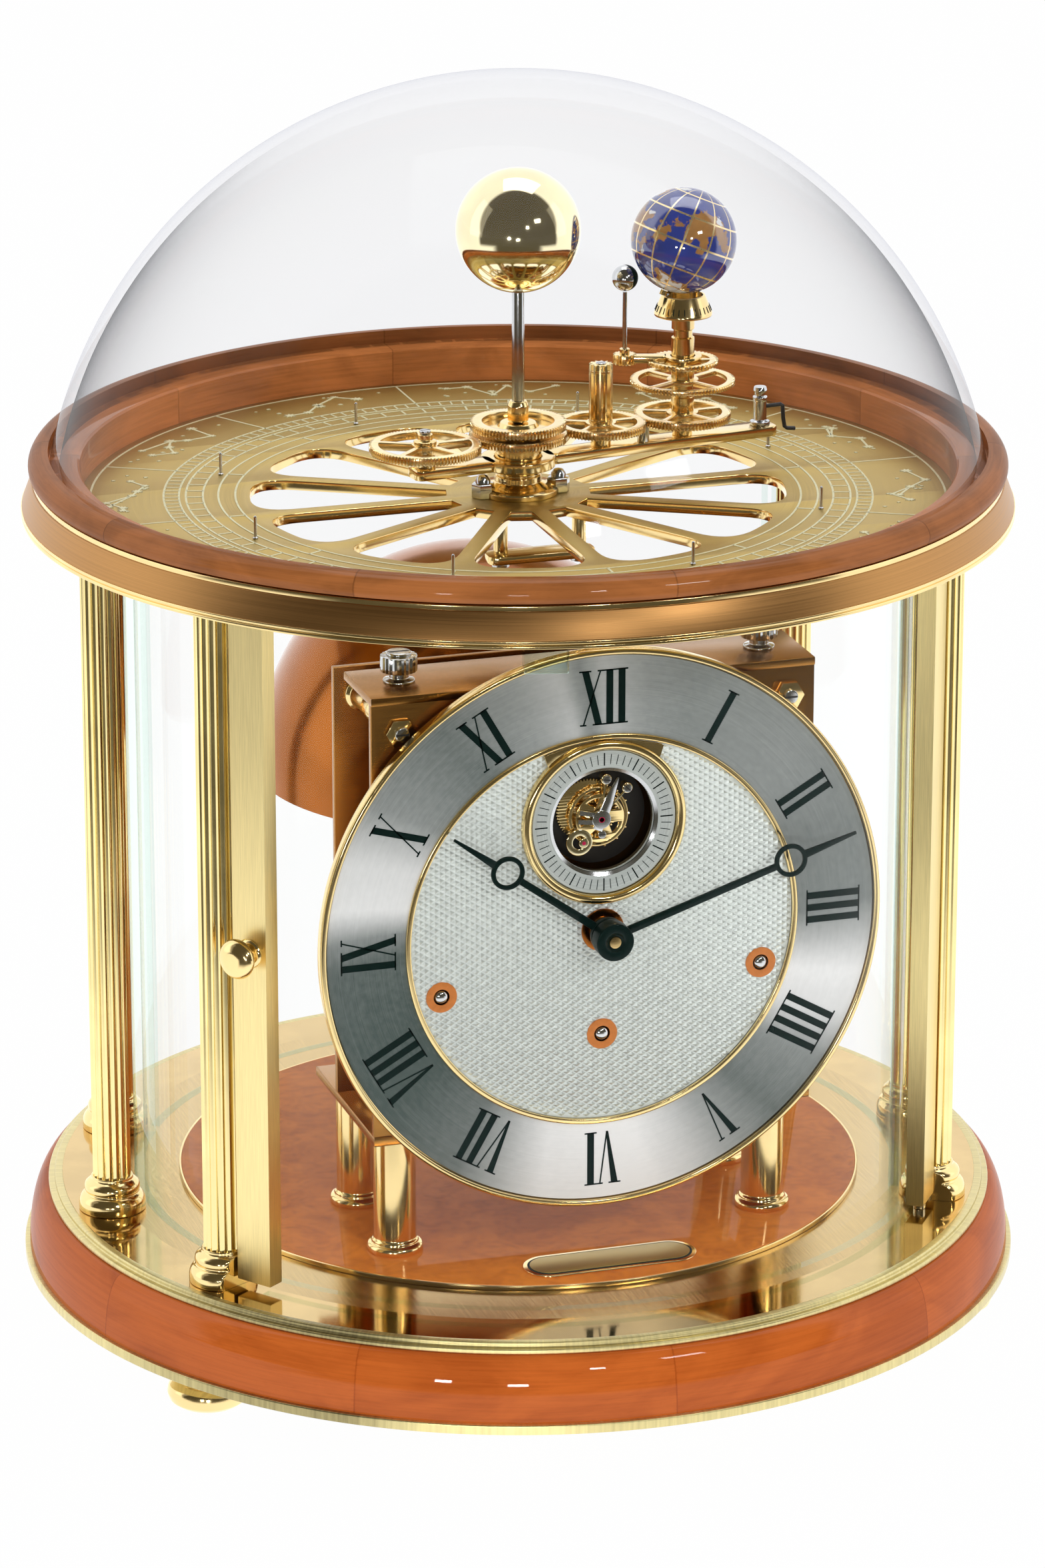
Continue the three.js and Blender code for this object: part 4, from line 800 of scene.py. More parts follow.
def copies_round(body, number, radius, finish, start_degrees=0.0):
    """A body copied round a circle."""
    tree = bpy.data.node_groups.get("copies_round") or copies_round_tree()
    mark = marker(body)
    made = grown(tree, {"Count": number, "Radius": float(radius), "Start": math.radians(start_degrees),
                        "Mark": mark, "Material": finish_named(finish)})
    mesh = mark.data
    bpy.data.objects.remove(mark)
    bpy.data.meshes.remove(mesh)
    return made


def fluted_shaft_tree():
    """A straight shaft with round grooves that meet in sharp ridges."""
    tree, wire = new_tree("fluted_shaft", Int=["Flutes"], Float=["Radius", "Depth", "Low", "High"])
    flutes, radius = wire["Flutes"], wire["Radius"]
    section = flutes.node("GeometryNodeCurvePrimitiveCircle", {"Resolution": flutes * 10, "Radius": radius})
    x = flutes.node("ShaderNodeSeparateXYZ", {0: flutes.node("GeometryNodeInputPosition")})
    turn = x.other(1).math("ARCTAN2", x)
    groove = (turn * flutes * 0.5).math("SINE").math("ABSOLUTE") ** 0.75
    reach = radius - wire["Depth"] * groove
    place = vector(turn, turn.math("COSINE") * reach, turn.math("SINE") * reach, 0.0)
    section = flutes.node("GeometryNodeSetPosition", {"Geometry": section, "Position": place})
    ends = {"Start": vector(turn, 0.0, 0.0, wire["Low"]), "End": vector(turn, 0.0, 0.0, wire["High"])}
    line = flutes.node("GeometryNodeCurvePrimitiveLine", ends)
    shaft = {"Curve": line, "Profile Curve": section, "Fill Caps": True}
    end_tree(flutes.node("GeometryNodeCurveToMesh", shaft), wire["Material"])
    return tree


DIAMOND_GAPS = 5


def diamond_field_tree():
    """Raised diamonds in staggered rows that fill a disc, clear of round gaps given as (x, y, radius)."""
    lengths, gaps = ["Radius", "Width", "Height", "Rise"], [f"Gap {i}" for i in range(DIAMOND_GAPS)]
    tree, wire = new_tree("diamond_field", Float=lengths, Vector=gaps)
    radius, width, height, rise = (wire[name] for name in lengths)
    columns = (radius / width).math("CEIL") * 2.0 + 1.0
    rows = (radius / height * 2.0).math("CEIL") * 2.0 + 1.0
    grid = radius.node("GeometryNodeMeshGrid", {
        "Size X": (columns - 1.0) * width, "Size Y": (rows - 1.0) * height * 0.5,
        "Vertices X": columns, "Vertices Y": rows})
    spot = radius.node("ShaderNodeSeparateXYZ", {0: radius.node("GeometryNodeInputPosition")})
    x, y = spot, spot.other(1)
    row = (y / (height * 0.5)).math("ROUND").math("ABSOLUTE")
    stagger = vector(x, row.math("MODULO", 2.0) * width * 0.5, 0.0, 0.0)
    grid = radius.node("GeometryNodeSetPosition", {"Geometry": grid, "Offset": stagger})
    inside = (x * x + y * y).math("SQRT") < radius - width * 0.2
    for name in gaps:
        gap = radius.node("ShaderNodeSeparateXYZ", {0: wire[name]})
        across, up = x - gap, y - gap.other(1)
        inside = inside * ((across * across + up * up).math("SQRT") > gap.other(2) + width * 0.5)
    diamond = radius.node("GeometryNodeMeshCone", {
        "Vertices": 4, "Radius Top": 0.10, "Radius Bottom": 0.84, "Depth": rise}, out="Mesh")
    scale = vector(x, width * 0.5, height * 0.5, 1.0)
    copies = radius.node("GeometryNodeInstanceOnPoints", {
        "Points": grid, "Selection": inside, "Instance": diamond, "Scale": scale})
    end_tree(copies, wire["Material"])
    return tree


def add_lamp(name, place, target, width, height, power):
    data = bpy.data.lights.new(name, "AREA")
    data.shape = "RECTANGLE"
    data.size, data.size_y = width, height
    data.energy = power
    lamp = bpy.data.objects.new(name, data)
    lamp.location = place
    bpy.context.scene.collection.objects.link(lamp)
    lamp.rotation_euler = (target - lamp.location).to_track_quat("-Z", "Y").to_euler()


def make_world(toward_camera):
    """A white studio whose dark mouth, round the camera, gives polished metal something to mirror."""
    world = bpy.data.worlds.new("studio")
    bpy.context.scene.world = world
    world.use_nodes = True
    world.node_tree.nodes.clear()
    graph = Wire(world.node_tree)
    path = graph.node("ShaderNodeLightPath")
    glossy = path.other("Is Glossy Ray")
    direct = path.math("MAXIMUM", path.other("Is Transmission Ray"))
    sight = graph.node("ShaderNodeTexCoord")
    shown = glossy.blend(SOFT_LIGHT, dark_mouth(sight, toward_camera).blend(TENT_WHITE, ROOM_SHADE))
    shown = direct.blend(shown, (1, 1, 1))
    sky = graph.node("ShaderNodeBackground", {"Color": shown, "Strength": 1.0})
    sky.node("ShaderNodeOutputWorld", {"Surface": sky})


ROOM_SHADE = (0.09, 0.08, 0.055)
TENT_WHITE = (1.3, 1.3, 1.3)
WHITE_TABLE = (800.0, 1200.0)
DARK_LANE = (300.0, 520.0)
SOFT_LIGHT = (0.56, 0.56, 0.56)
FLOOR_WHITENESS = 0.985
FLOOR_HALF, FLOOR_DROP = 9.0, 0.0003
CLOCK_MIDDLE = 0.17
FILM_WIDTH = 36.0
LAMPS = (
    # name, degrees to the right of the camera, degrees up, distance, width, height, power
    ("left_bank", -84, 22, 1.7, 1.0, 1.5, 1.2),
    ("right_bank", 86, 20, 1.7, 0.8, 1.4, 0.8),
    ("top_bank", 170, 74, 1.8, 1.3, 1.0, 7),
    ("window_high", 40, 30, 2.1, 0.34, 0.18, 5),
    ("window_right", 18, 21, 2.1, 0.12, 0.12, 3),
    ("window_left", -16, 2, 2.1, 0.13, 0.10, 3),
    ("window_low", 0, 0, 2.1, 0.16, 0.09, 3),
)


def dark_mouth(direction, toward_camera, low=0.20, high=0.32):
    """1 within the open side of the studio, round the direction of the camera, and 0 elsewhere."""
    pair = {0: direction, 1: toward_camera}
    return direction.node("ShaderNodeVectorMath", pair, 1, operation="DOT_PRODUCT").ramp(low, high)


@as_finish
def studio_floor(graph, tone, toward_camera):
    """A pale floor that looks white, keeps a soft shadow and is mirrored dark on the camera's side."""
    path = graph.node("ShaderNodeLightPath")
    glossy = path.other("Is Glossy Ray")
    seen = path.math("MAXIMUM", glossy).math("MAXIMUM", path.other("Is Transmission Ray"))
    lit = principled(graph, Base_Color=tone, Roughness=0.9)
    place = millimetres(graph)
    outward = graph.node("ShaderNodeVectorMath", {0: place}, operation="NORMALIZE")
    reach = graph.node("ShaderNodeVectorMath", {0: place}, 1, operation="LENGTH")
    wide = dark_mouth(outward, toward_camera) * reach.ramp(*WHITE_TABLE)
    lane = dark_mouth(outward, toward_camera, 0.62, 0.80) * reach.ramp(*DARK_LANE)
    mirrored = wide.math("MAXIMUM", lane).blend(TENT_WHITE, ROOM_SHADE)
    shade = glossy.blend((1, 1, 1), mirrored)
    white = graph.node("ShaderNodeEmission", {"Color": shade, "Strength": 1.0})
    return graph.node("ShaderNodeMixShader", {0: seen * FLOOR_WHITENESS, 1: lit, 2: white})


def make_floor(tone, toward_camera):
    mesh = bpy.data.meshes.new("studio_floor")
    corners = rectangle(-FLOOR_HALF, -FLOOR_HALF, FLOOR_HALF, FLOOR_HALF)
    mesh.from_pydata([(x, y, -FLOOR_DROP) for x, y in corners], [], [(0, 1, 2, 3)])
    mesh.materials.append(studio_floor("studio_floor", tone, toward_camera))
    floor = bpy.data.objects.new("studio_floor", mesh)
    bpy.context.scene.collection.objects.link(floor)


class CLOCK_OT_stage(bpy.types.Operator):
    """Sets up the floor, the studio, the lamps and the camera"""

    bl_idname = "clock.stage"
    bl_label = "Stage"

    def execute(self, context):
        stage = context.scene.clock_stage
        away = Vector((-math.sin(stage.turn), -math.cos(stage.turn), 0.0))
        context.scene.view_settings.view_transform = "Standard"
        centre = Vector((0, 0, CLOCK_MIDDLE))
        eye = away * stage.distance + Vector((0, 0, stage.height))
        make_world((eye - centre).normalized())
        make_floor(context.scene.clock_colours.floor, away)
        right = Vector((-away.y, away.x, 0.0))
        for name, turn, rise, reach, width, height, power in LAMPS:
            turn, rise = math.radians(turn), math.radians(rise)
            level = away * math.cos(turn) + right * math.sin(turn)
            place = centre + (level * math.cos(rise) + Vector((0, 0, math.sin(rise)))) * reach
            add_lamp(name, place, centre, width, height, power)
        data = bpy.data.cameras.new("camera")
        data.lens, data.sensor_width, data.shift_x = stage.lens, FILM_WIDTH, stage.shift
        camera = bpy.data.objects.new("camera", data)
        camera.location = eye
        ahead = Vector((-away.x, -away.y, -math.tan(stage.pitch)))
        camera.rotation_euler = ahead.to_track_quat("-Z", "Y").to_euler()
        context.scene.collection.objects.link(camera)
        context.scene.camera = camera
        return {"FINISHED"}


def rim_radius(node):
    """Outer radius of a node that is turned round the case's axis."""
    return box_mm(node)[1].x


def levels(node):
    """Lowest and highest level of a node."""
    low, high = box_mm(node)
    return low.z, high.z


def turned_box(node):
    """Outer radius, lowest and highest level of a node that is turned round the case's axis."""
    return rim_radius(node), *levels(node)


def depths(node):
    """Back, front and right end of a node, as seen from the front."""
    low, high = box_mm(node)
    return -high.y, -low.y, high.x


FEET = ("foot_left", "foot_right", "foot_back")
FOOT_PROFILE = ((0, 0), (0.5, 0), (0.80, 0.04), (0.95, 0.16), (1.0, 0.33), (0.96, 0.50), (0.84, 0.62),
                (0.76, 0.66), (0.76, 0.73), (0.82, 0.77), (0.82, 0.90), (0.74, 0.94), (0.74, 1.0), (0, 1.0))
INLAY = 0.7


def foot(node):
    low, high = box_mm(node)
    middle = (low + high) / 2
    radius, tall = (high.x - low.x) / 2, high.z - low.z
    profile = eased(scaled(FOOT_PROFILE, radius, tall), 0.5, 3)
    shape = Shape().turn(profile, 64, "brass", at(middle.x, middle.y, low.z))
    shape.look(node, "case", "polished_brass")


def bottom_plate():
    radius, low, high = turned_box("bottom_plate")
    profile = eased([(0, low), (radius, low), (radius, high), (radius - 3.2, high),
                     (radius - 3.2, high - 0.2), (0, high - 0.2)], 0.5, 4)
    Shape().turn(profile, 192, "rim_brass").look("bottom_plate", "case", "polished_brass")


def plinth():
    foot_radius, low, high = turned_box("plinth")
    top_radius = rim_radius("base_plate")
    profile = [(0, low)]
    for i in range(25):
        turn = math.pi / 2 * i / 24
        profile.append((top_radius + (foot_radius - top_radius) * math.cos(turn),
                        low + (high - low) * math.sin(turn)))
    profile.append((0, high))
    Shape().turn(profile, 192, "cherry").look("plinth", "case", "cherry")


def base_plate():
    radius, low, high = turned_box("base_plate")
    step, top = radius - 1.9, radius - 4.5
    rim = [(top, low), (radius, low), (radius, high - 1.4), (step, high - 1.4), (step, high), (top, high)]
    shape = Shape().turn(hoop(rim, 0.5, 4), 192, "rim_brass")
    door, deck = -box_mm("door_glass")[0].y, high - 0.06
    shape.turn([(0, low), (top + 0.4, low), (top + 0.4, deck), (door, deck)], 192, "mirror_gold")
    shape.turn([(door, deck), (0, deck)], 192, "base_brass")
    shape.look("base_plate", "case", "polished_brass")


def floor_panel():
    radius, low, high = turned_box("floor_panel")
    shape = Shape().disc(radius - INLAY, low, high, 0.2, 160, "burl")
    shape.ring(radius - INLAY, radius, low, high - 0.1, 0.2, 160, "brass")
    shape.look("floor_panel", "case", "burl")


def plaque():
    low, high = box_mm("name_plate")
    middle, half = (low + high) / 2, (high - low) / 2

    def oval(inset):
        """A long plate with round ends."""
        slim = half.y * 0.7
        return [(x + math.copysign(half.x - slim, x), y) for x, y in circle(slim - inset, 96, turn=0.01)]

    place = at(middle.x, middle.y, low.z)
    shape = Shape().raised([oval(0)], 0, 0.72, 0.25, "brass", place)
    shape.raised([oval(1.0), oval(1.7)], 0.6, 0.80, 0, "ink", place)
    shape.raised([oval(1.8)], 0.6, 2 * half.z, 0.12, "plaque_brass", place)
    shape.look("name_plate", "case", "brushed_brass")


class CLOCK_OT_base(bpy.types.Operator):
    """Feet, plates, wooden plinth, burl floor and the bare plaque"""

    bl_idname = "clock.base"
    bl_label = "Base"

    def execute(self, context):
        for node in FEET:
            foot(node)
        bottom_plate()
        plinth()
        base_plate()
        floor_panel()
        plaque()
        return {"FINISHED"}


COLUMN_ANGLES = {"front": 60, "middle": 90, "rear": 120}
COLUMN_BASE = ((0, 0), (1.0, 0), (1.0, 0.20), (0.985, 0.30), (0.94, 0.40), (0.87, 0.475), (0.80, 0.50),
               (0.80, 0.56), (0.83, 0.60), (0.83, 0.70), (0.80, 0.78), (0.70, 0.86), (0.62, 0.90),
               (0.62, 1.0), (0, 1.0))
COLUMN_CAP = ((0, 0), (0.85, 0), (1.0, 0.25), (1.0, 0.8), (0.94, 1.0), (0, 1.0))
BASE_SIZE = (10.0, 10.5)
CAP_SIZE = (7.2, 2.2)
SHAFT_RADIUS = 5.65
STILE_SIZE = (11.0, 4.5)
STILE_ROOM = 0.6


def cut_base(base, sign, reach):
    """The base of a front column is flat on the side of the door, so that the door can swing."""
    stile = middle_mm("door_stile_left")
    column = around(reach, -COLUMN_ANGLES["front"]).translation
    apart = Vector((stile.x - column.x, stile.y - column.y)).length
    flat = apart - math.hypot(*STILE_SIZE) / 2 - STILE_ROOM
    points, faces = base
    return [(max(x, -flat) if sign > 0 else min(x, flat), y, z) for x, y, z in points], faces


class CLOCK_OT_columns(bpy.types.Operator):
    """Six fluted columns with turned bases and cap rings"""

    bl_idname = "clock.columns"
    bl_label = "Columns"

    def execute(self, context):
        sizes = context.scene.clock_sizes
        reach = box_mm("column_right_middle")[1].x - BASE_SIZE[0]
        low, high = levels("column_right_middle")
        shaft = grown(fluted_shaft_tree(), {
            "Flutes": sizes.flutes, "Radius": SHAFT_RADIUS, "Depth": sizes.flute_depth / MM,
            "Low": low + BASE_SIZE[1] - 1, "High": high - 0.4, "Material": finish_named("column_brass")})
        base = lathe(eased(scaled(COLUMN_BASE, *BASE_SIZE, low), 0.35, 3), 72)
        cap = lathe(eased(scaled(COLUMN_CAP, *CAP_SIZE, high - CAP_SIZE[1]), 0.25, 3), 72)
        for side, sign in (("left", -1), ("right", 1)):
            for row, degrees in COLUMN_ANGLES.items():
                node = f"column_{side}_{row}"
                place = around(reach, sign * degrees)
                shape = Shape().add(shaft, "column_brass", place).add(cap, "brass", place)
                shape.add(cut_base(base, sign, reach) if row == "front" else base, "brass", place)
                shape.look(node, "case", "polished_brass", smooth_degrees=40)
        return {"FINISHED"}


PANE_THICKNESS = 3.0
STOP_SIZE = (11.5, 8.0)
STOP_ANGLE = -14
PANES = {"left_glass": (-119, -61), "right_glass": (61, 119), "back_glass": (121, 239)}


def glass_shape(outer, start_angle, end_angle, low, high):
    points, broad, edges = bent_pane(outer, outer - PANE_THICKNESS, start_angle, end_angle, low, high)
    return Shape().add((points, broad), "glass").add((points, edges), "glass_edge")


class CLOCK_OT_glass(bpy.types.Operator):
    """Curved panes at the sides and back, and the clear door stop"""

    bl_idname = "clock.glass"
    bl_label = "Glass"

    def execute(self, context):
        low, high = levels("back_glass")
        outer = box_mm("back_glass")[1].y
        for node, (start_angle, end_angle) in PANES.items():
            shape = glass_shape(outer, start_angle, end_angle, low, high)
            shape.look(node, "case", "glass")
        low, high = levels("door_stop")
        half, deep = STOP_SIZE[0] / 2, STOP_SIZE[1]
        reach = -box_mm("door_stop")[0].y / math.cos(math.radians(STOP_ANGLE))
        shape = Shape().raised([rectangle(-half, 0, half, deep)], low, high, 0.5, "glass_edge",
                               around(reach, STOP_ANGLE))
        shape.look("door_stop", "case", "glass")
        return {"FINISHED"}


DOOR_ANGLE = 54
KNOB_PROFILE = ((0, 0), (4.4, 0), (4.4, 0.8), (3.7, 1.4), (2.3, 1.8), (2.1, 3.0), (3.3, 3.5), (5.0, 4.3),
                (5.9, 5.5), (5.9, 6.7), (4.9, 8.0), (2.8, 8.85), (0, 9.0))
PIVOT_RADIUS = 1.8


def door_pane():
    low, high = box_mm("door_glass")
    outer = -low.y
    reach = math.degrees(math.asin(high.x / outer))
    glass_shape(outer, -reach, reach, low.z, high.z).look("door_glass", "door", "glass")


def door_stiles():
    low, high = levels("door_stile_left")
    half, depth = STILE_SIZE[0] / 2, STILE_SIZE[1] / 2
    stile = slab([rectangle(-half, -depth, half, depth)], low, high, 0.45)
    for side, sign in (("left", -1), ("right", 1)):
        node = f"door_stile_{side}"
        middle = middle_mm(node)
        place = at(middle.x, middle.y) @ turned_by(sign * DOOR_ANGLE)
        shape = Shape().add(stile, "stile_brass", place)
        if side == "right":
            floor, deck = levels(node)
            shape.disc(PIVOT_RADIUS, floor, deck, 0.2, 24, "nickel", place)
        shape.look(node, "door", "brushed_brass")


def door_knob():
    stile, knob = middle_mm("door_stile_left"), middle_mm("door_knob")
    reach = math.hypot(stile.x, stile.y) + STILE_SIZE[1] / 2
    place = around(reach, -DOOR_ANGLE, knob.z) @ turned_by(90, "X")
    shape = Shape().turn(eased(KNOB_PROFILE, 0.7, 4), 64, "brass", place)
    shape.look("door_knob", "door", "polished_brass")


class CLOCK_OT_door(bpy.types.Operator):
    """Curved glass door with two brass stiles, a pivot pin and a knob"""

    bl_idname = "clock.door"
    bl_label = "Door"

    def execute(self, context):
        door_pane()
        door_stiles()
        door_knob()
        return {"FINISHED"}


PETALS = 12
PETAL_INNER, PETAL_OUTER, PETAL_CORNER = 21.0, 79.0, 12.0
BAR_WIDTH = 4.5
BRIDGE_CIRCLE = 24.0
BRIDGE_DROP = 9.0
RING_LINES = (83.0, 88.0, 92.5, 97.5, 99.5, 104.0, 125.5)
MARK_RISE = 0.12
FIGURE_INNER, FIGURE_OUTER = 108.0, 122.0
FIGURE_LINE = 0.7
STAR_SEED = 12
PIN_CIRCLE, PIN_START = 90.0, -74.4
GAP = 0.3
DOME_WALL = 3.0
RING_WALL = 8.8


def petal():
    """One opening between two bars, drawn towards +X."""
    half = math.pi / PETALS

    def edge(along, side):
        across = along * math.sin(half) - BAR_WIDTH / 2 * math.cos(half)
        return along * math.cos(half) + BAR_WIDTH / 2 * math.sin(half), side * across

    crown = [(PETAL_OUTER * math.cos(half * i / 9), PETAL_OUTER * math.sin(half * i / 9))
             for i in range(-3, 4)]
    corners = [edge(PETAL_INNER, -1), edge(PETAL_OUTER - PETAL_CORNER, -1)]
    corners += bent(corners[-1], edge(PETAL_OUTER, -1), crown[0])[1:-1] + crown
    far = edge(PETAL_OUTER - PETAL_CORNER, 1)
    return corners + bent(crown[-1], edge(PETAL_OUTER, 1), far)[1:] + [edge(PETAL_INNER, 1)]


def bent(first, corner, last, steps=8):
    """A curve from first to last that heads for a corner."""
    line = []
    for i in range(steps + 1):
        t = i / steps
        parts = zip(first, corner, last)
        line.append(tuple(a * (1 - t) ** 2 + b * 2 * t * (1 - t) + c * t * t for a, b, c in parts))
    return line


def turned_outline(outline, degrees):
    c, s = math.cos(math.radians(degrees)), math.sin(math.radians(degrees))
    return [(x * c - y * s, x * s + y * c) for x, y in outline]


def parted(body):
    """The level faces of a slab, and its sides, as two bodies."""
    points, faces = body
    level, sides = [], []
    for face in faces:
        a, b, c = (Vector(points[i]) for i in face[:3])
        upright = (b - a).cross(c - a).normalized().z
        (level if abs(upright) > 0.9 else sides).append(face)
    return (points, level), (points, sides)


def bar(x0, y0, x1, y1, width, low, high):
    """A straight flat bar between two points."""
    along = Vector((x1 - x0, y1 - y0)).normalized() * width / 2
    side = Vector((-along.y, along.x))
    return slab([[(x0 + side.x, y0 + side.y), (x0 - side.x, y0 - side.y), (x1 - side.x, y1 - side.y),
                  (x1 + side.x, y1 + side.y)]], low, high)


def calendar_plate(low, deck):
    holes = [turned_outline(petal(), 360 * (i + 0.5) / PETALS) for i in range(PETALS)]
    outer = circle(rim_radius("top_plate") - 1.2, 192)
    level, sides = parted(slab([outer, *holes], low, deck, 0.3))
    shape = Shape().add(level, "engraved_plate").add(sides, "brass")
    turn = math.radians(360 / PETALS)
    across, forward = BRIDGE_CIRCLE * math.sin(turn), BRIDGE_CIRCLE * math.cos(turn)
    drop = low - BRIDGE_DROP
    outline = eased(rectangle(-across - 4, -forward - 4, across + 4, -forward + 4), 3, 4, closed=True)
    shape.raised([outline], drop - 2.5, drop, 0.3, "brass")
    for x in (-across, across):
        shape.disc(2.1, drop, low, 0.2, 24, "brass", at(x, -forward))
        shape.disc(2.6, drop - 4, drop - 2.5, 0.3, 24, "nickel", at(x, -forward))
    shape.look("top_plate", "case", "brushed_brass")


def calendar_marks(deck, ticks):
    shape = Shape()
    top = deck + MARK_RISE
    for radius in RING_LINES:
        line = rectangle(radius - 0.3, deck, radius + 0.3, top)
        shape.turn(line + line[:1], 192, "engraving")
    for inner, outer, number, width in ((99.5, 104.0, ticks, 0.5), (92.5, 97.5, ticks // 2, 0.6),
                                        (83.0, 88.0, PETALS, 0.7), (104.0, 125.5, PETALS, 0.6)):
        half = (outer - inner) / 2
        tick = bar(0, -half, 0, half, width, deck, top)
        shape.add(copies_round(tick, number, inner + half, "engraving"), "engraving")
    draws = random.Random(STAR_SEED)
    for i in range(PETALS):
        star_figure(shape, draws, 360 / PETALS * (i + 0.5), deck)
    shape.piece("calendar_marks", "case", "brushed_brass")


def star_figure(shape, draws, middle, deck):
    """One seeded figure of stars joined by lines, in its own twelfth of the plate."""
    number = draws.randint(5, 7)
    stars = []
    for k in range(number):
        spread = 9.5 * (2 * (k + 0.5) / number - 1) + draws.uniform(-0.8, 0.8)
        stars.append(around(draws.uniform(FIGURE_INNER, FIGURE_OUTER), middle + spread).translation)
    end = around(draws.uniform(FIGURE_INNER, FIGURE_OUTER), middle + draws.uniform(-6, 6)).translation
    for first, second in (*zip(stars, stars[1:]), (stars[number // 2], end)):
        line = bar(first.x, first.y, second.x, second.y, FIGURE_LINE, deck, deck + MARK_RISE)
        shape.add(line, "engraving")
    for _ in range(8):
        spot = around(draws.uniform(FIGURE_INNER, FIGURE_OUTER),
                      middle + draws.uniform(-12, 12)).translation
        shape.add(star_body(draws.uniform(0.5, 0.9), deck), "engraving", at(spot.x, spot.y))
    for star in (*stars, end):
        shape.add(star_body(draws.uniform(1.3, 2.1), deck), "engraving", at(star.x, star.y))


def star_body(radius, deck):
    points = [(x * share, y * share) for (x, y), share in zip(circle(radius, 16), (1.0, 0.45) * 8)]
    return slab([points], deck, deck + 1.5 * MARK_RISE)


def plate_pins(deck, number, tall):
    profile = eased([(0, deck), (0.8, deck), (0.8, deck + 0.4), (0.45, deck + 0.6),
                     (0.45, deck + tall - 0.3), (0.2, deck + tall), (0, deck + tall)], 0.1, 2)
    pin = lathe(profile, 16)
    shape = Shape().add(copies_round(pin, number, PIN_CIRCLE, "nickel", PIN_START), "nickel")
    shape.add(pin, "nickel", around(113.0, -18.0))
    shape.piece("plate_pins", "case", "nickel")


def brushed_band():
    radius, low, high = turned_box("band_ring")
    inner = rim_radius("dome") + 3 * GAP
    slope, edge, lip = high - 1.5, low - 1.2, rim_radius("top_plate")
    cone = [(lip - 1.0, edge - 0.5), (lip - 0.2, edge), (radius - 2.4, slope), (inner, slope)]
    shape = Shape().turn(eased(cone, 0.3, 3), 192, "band_brass")
    rim = [(lip - 1.5, edge - 2.2), (lip, edge - 2.2), (lip, edge - 1.4), (lip - 0.5, edge - 1.1),
           (lip, edge - 0.8), (lip, edge), (lip - 1.5, edge)]
    shape.turn(hoop(rim, 0.2), 192, "brass")
    step = rectangle(inner, slope - 0.5, radius - 2.7, high)
    shape.turn(eased(step, 0.4, 4), 192, "brass")
    shape.turn([(inner, low), (inner, high)], 192, "brass")
    shape.look("band_ring", "case", "brushed_brass")


def ring_and_dome():
    dome_low, dome_high = levels("dome")
    low, high = levels("dome_ring")
    radius, dome = rim_radius("dome_ring"), rim_radius("dome")
    inner, shoulder, skirt = dome - RING_WALL, dome + GAP, dome + 2 * GAP
    under = levels("band_ring")[1] + 0.6
    outside = bent((radius - 0.8, under), (radius + 0.9, under + 2.8), (radius - 1.6, high - 1.0), 12)
    face = [(skirt, under), (radius - 1.2, under), *outside, (radius - 2.8, high - 0.25),
            (radius - 4.0, high), (shoulder, high), (shoulder, dome_low)]
    wall = [(shoulder, dome_low), (inner + 0.6, dome_low), (inner, dome_low - 0.6), (inner, low),
            (skirt, low), (skirt, under)]
    # The outside takes the shaded copy of the wood and the inside the lit copy: painted shade and light.
    shape = Shape().turn(face, 192, "ring_wood").turn(wall, 192, "ring_inside")
    shape.look("dome_ring", "dome_cover", "cherry")
    shape = Shape()
    tall = dome_high - dome_low

    def arc(reach, rise, steps=48):
        """The cap of a sphere through a circle and a crown."""
        sphere = (reach * reach + rise * rise) / (2 * rise)
        start = math.asin((sphere - rise) / sphere)
        turns = [start + (math.pi / 2 - start) * i / steps for i in range(steps)]
        centre = dome_low + rise - sphere
        wall = [(sphere * math.cos(t), centre + sphere * math.sin(t)) for t in turns]
        return wall + [(0, dome_low + rise)]

    shape.turn(arc(dome, tall), 160, "dome_glass")
    shape.turn(arc(dome - DOME_WALL, tall - DOME_WALL), 160, "dome_wall")
    shape.turn([(dome - DOME_WALL, dome_low), (dome, dome_low)], 160, "dome_glass")
    shape.look("dome", "dome_cover", "glass")


class CLOCK_OT_top(bpy.types.Operator):
    """Calendar plate with its marks and pins, band, wooden ring and glass dome"""

    bl_idname = "clock.top"
    bl_label = "Top and dome"

    def execute(self, context):
        sizes = context.scene.clock_sizes
        low, deck = levels("band_ring")[0] - 3.0, levels("band_ring")[0]
        calendar_plate(low, deck)
        calendar_marks(deck, sizes.calendar_ticks)
        plate_pins(deck, sizes.plate_pins, sizes.plate_pin_height / MM)
        brushed_band()
        ring_and_dome()
        return {"FINISHED"}


TOOTH_TIP, TOOTH_ROOT = 0.8, 1.1


def gear_outline(teeth, module, half_pitch=False):
    """Straight-flanked teeth; the first points along +X unless half a pitch on."""
    pitch = math.tau / teeth
    tip, root = module * (teeth / 2 + TOOTH_TIP), module * (teeth / 2 - TOOTH_ROOT)
    points = []
    for i in range(teeth):
        middle = pitch * (i + (0.5 if half_pitch else 0.0))
        for radius, offset in ((root, -0.27), (tip, -0.1), (tip, 0.1), (root, 0.27)):
            turn = middle + offset * pitch
            points.append((radius * math.cos(turn), radius * math.sin(turn)))
    return points


def spoke_holes(number, inner, outer, width, start_degrees=0.0):
    """The openings between the spokes of a wheel."""
    holes = []
    for i in range(number):
        middle = math.tau * (i + 0.5) / number + math.radians(start_degrees)
        outline = []
        for radius, way in ((inner, 1), (outer, -1)):
            reach = math.pi / number - math.asin(width / 2 / radius)
            outline += [(radius * math.cos(middle + way * reach * k / 6),
                         radius * math.sin(middle + way * reach * k / 6)) for k in range(-6, 7)]
        holes.append(eased(outline, 0.6, 2, closed=True))
    return holes


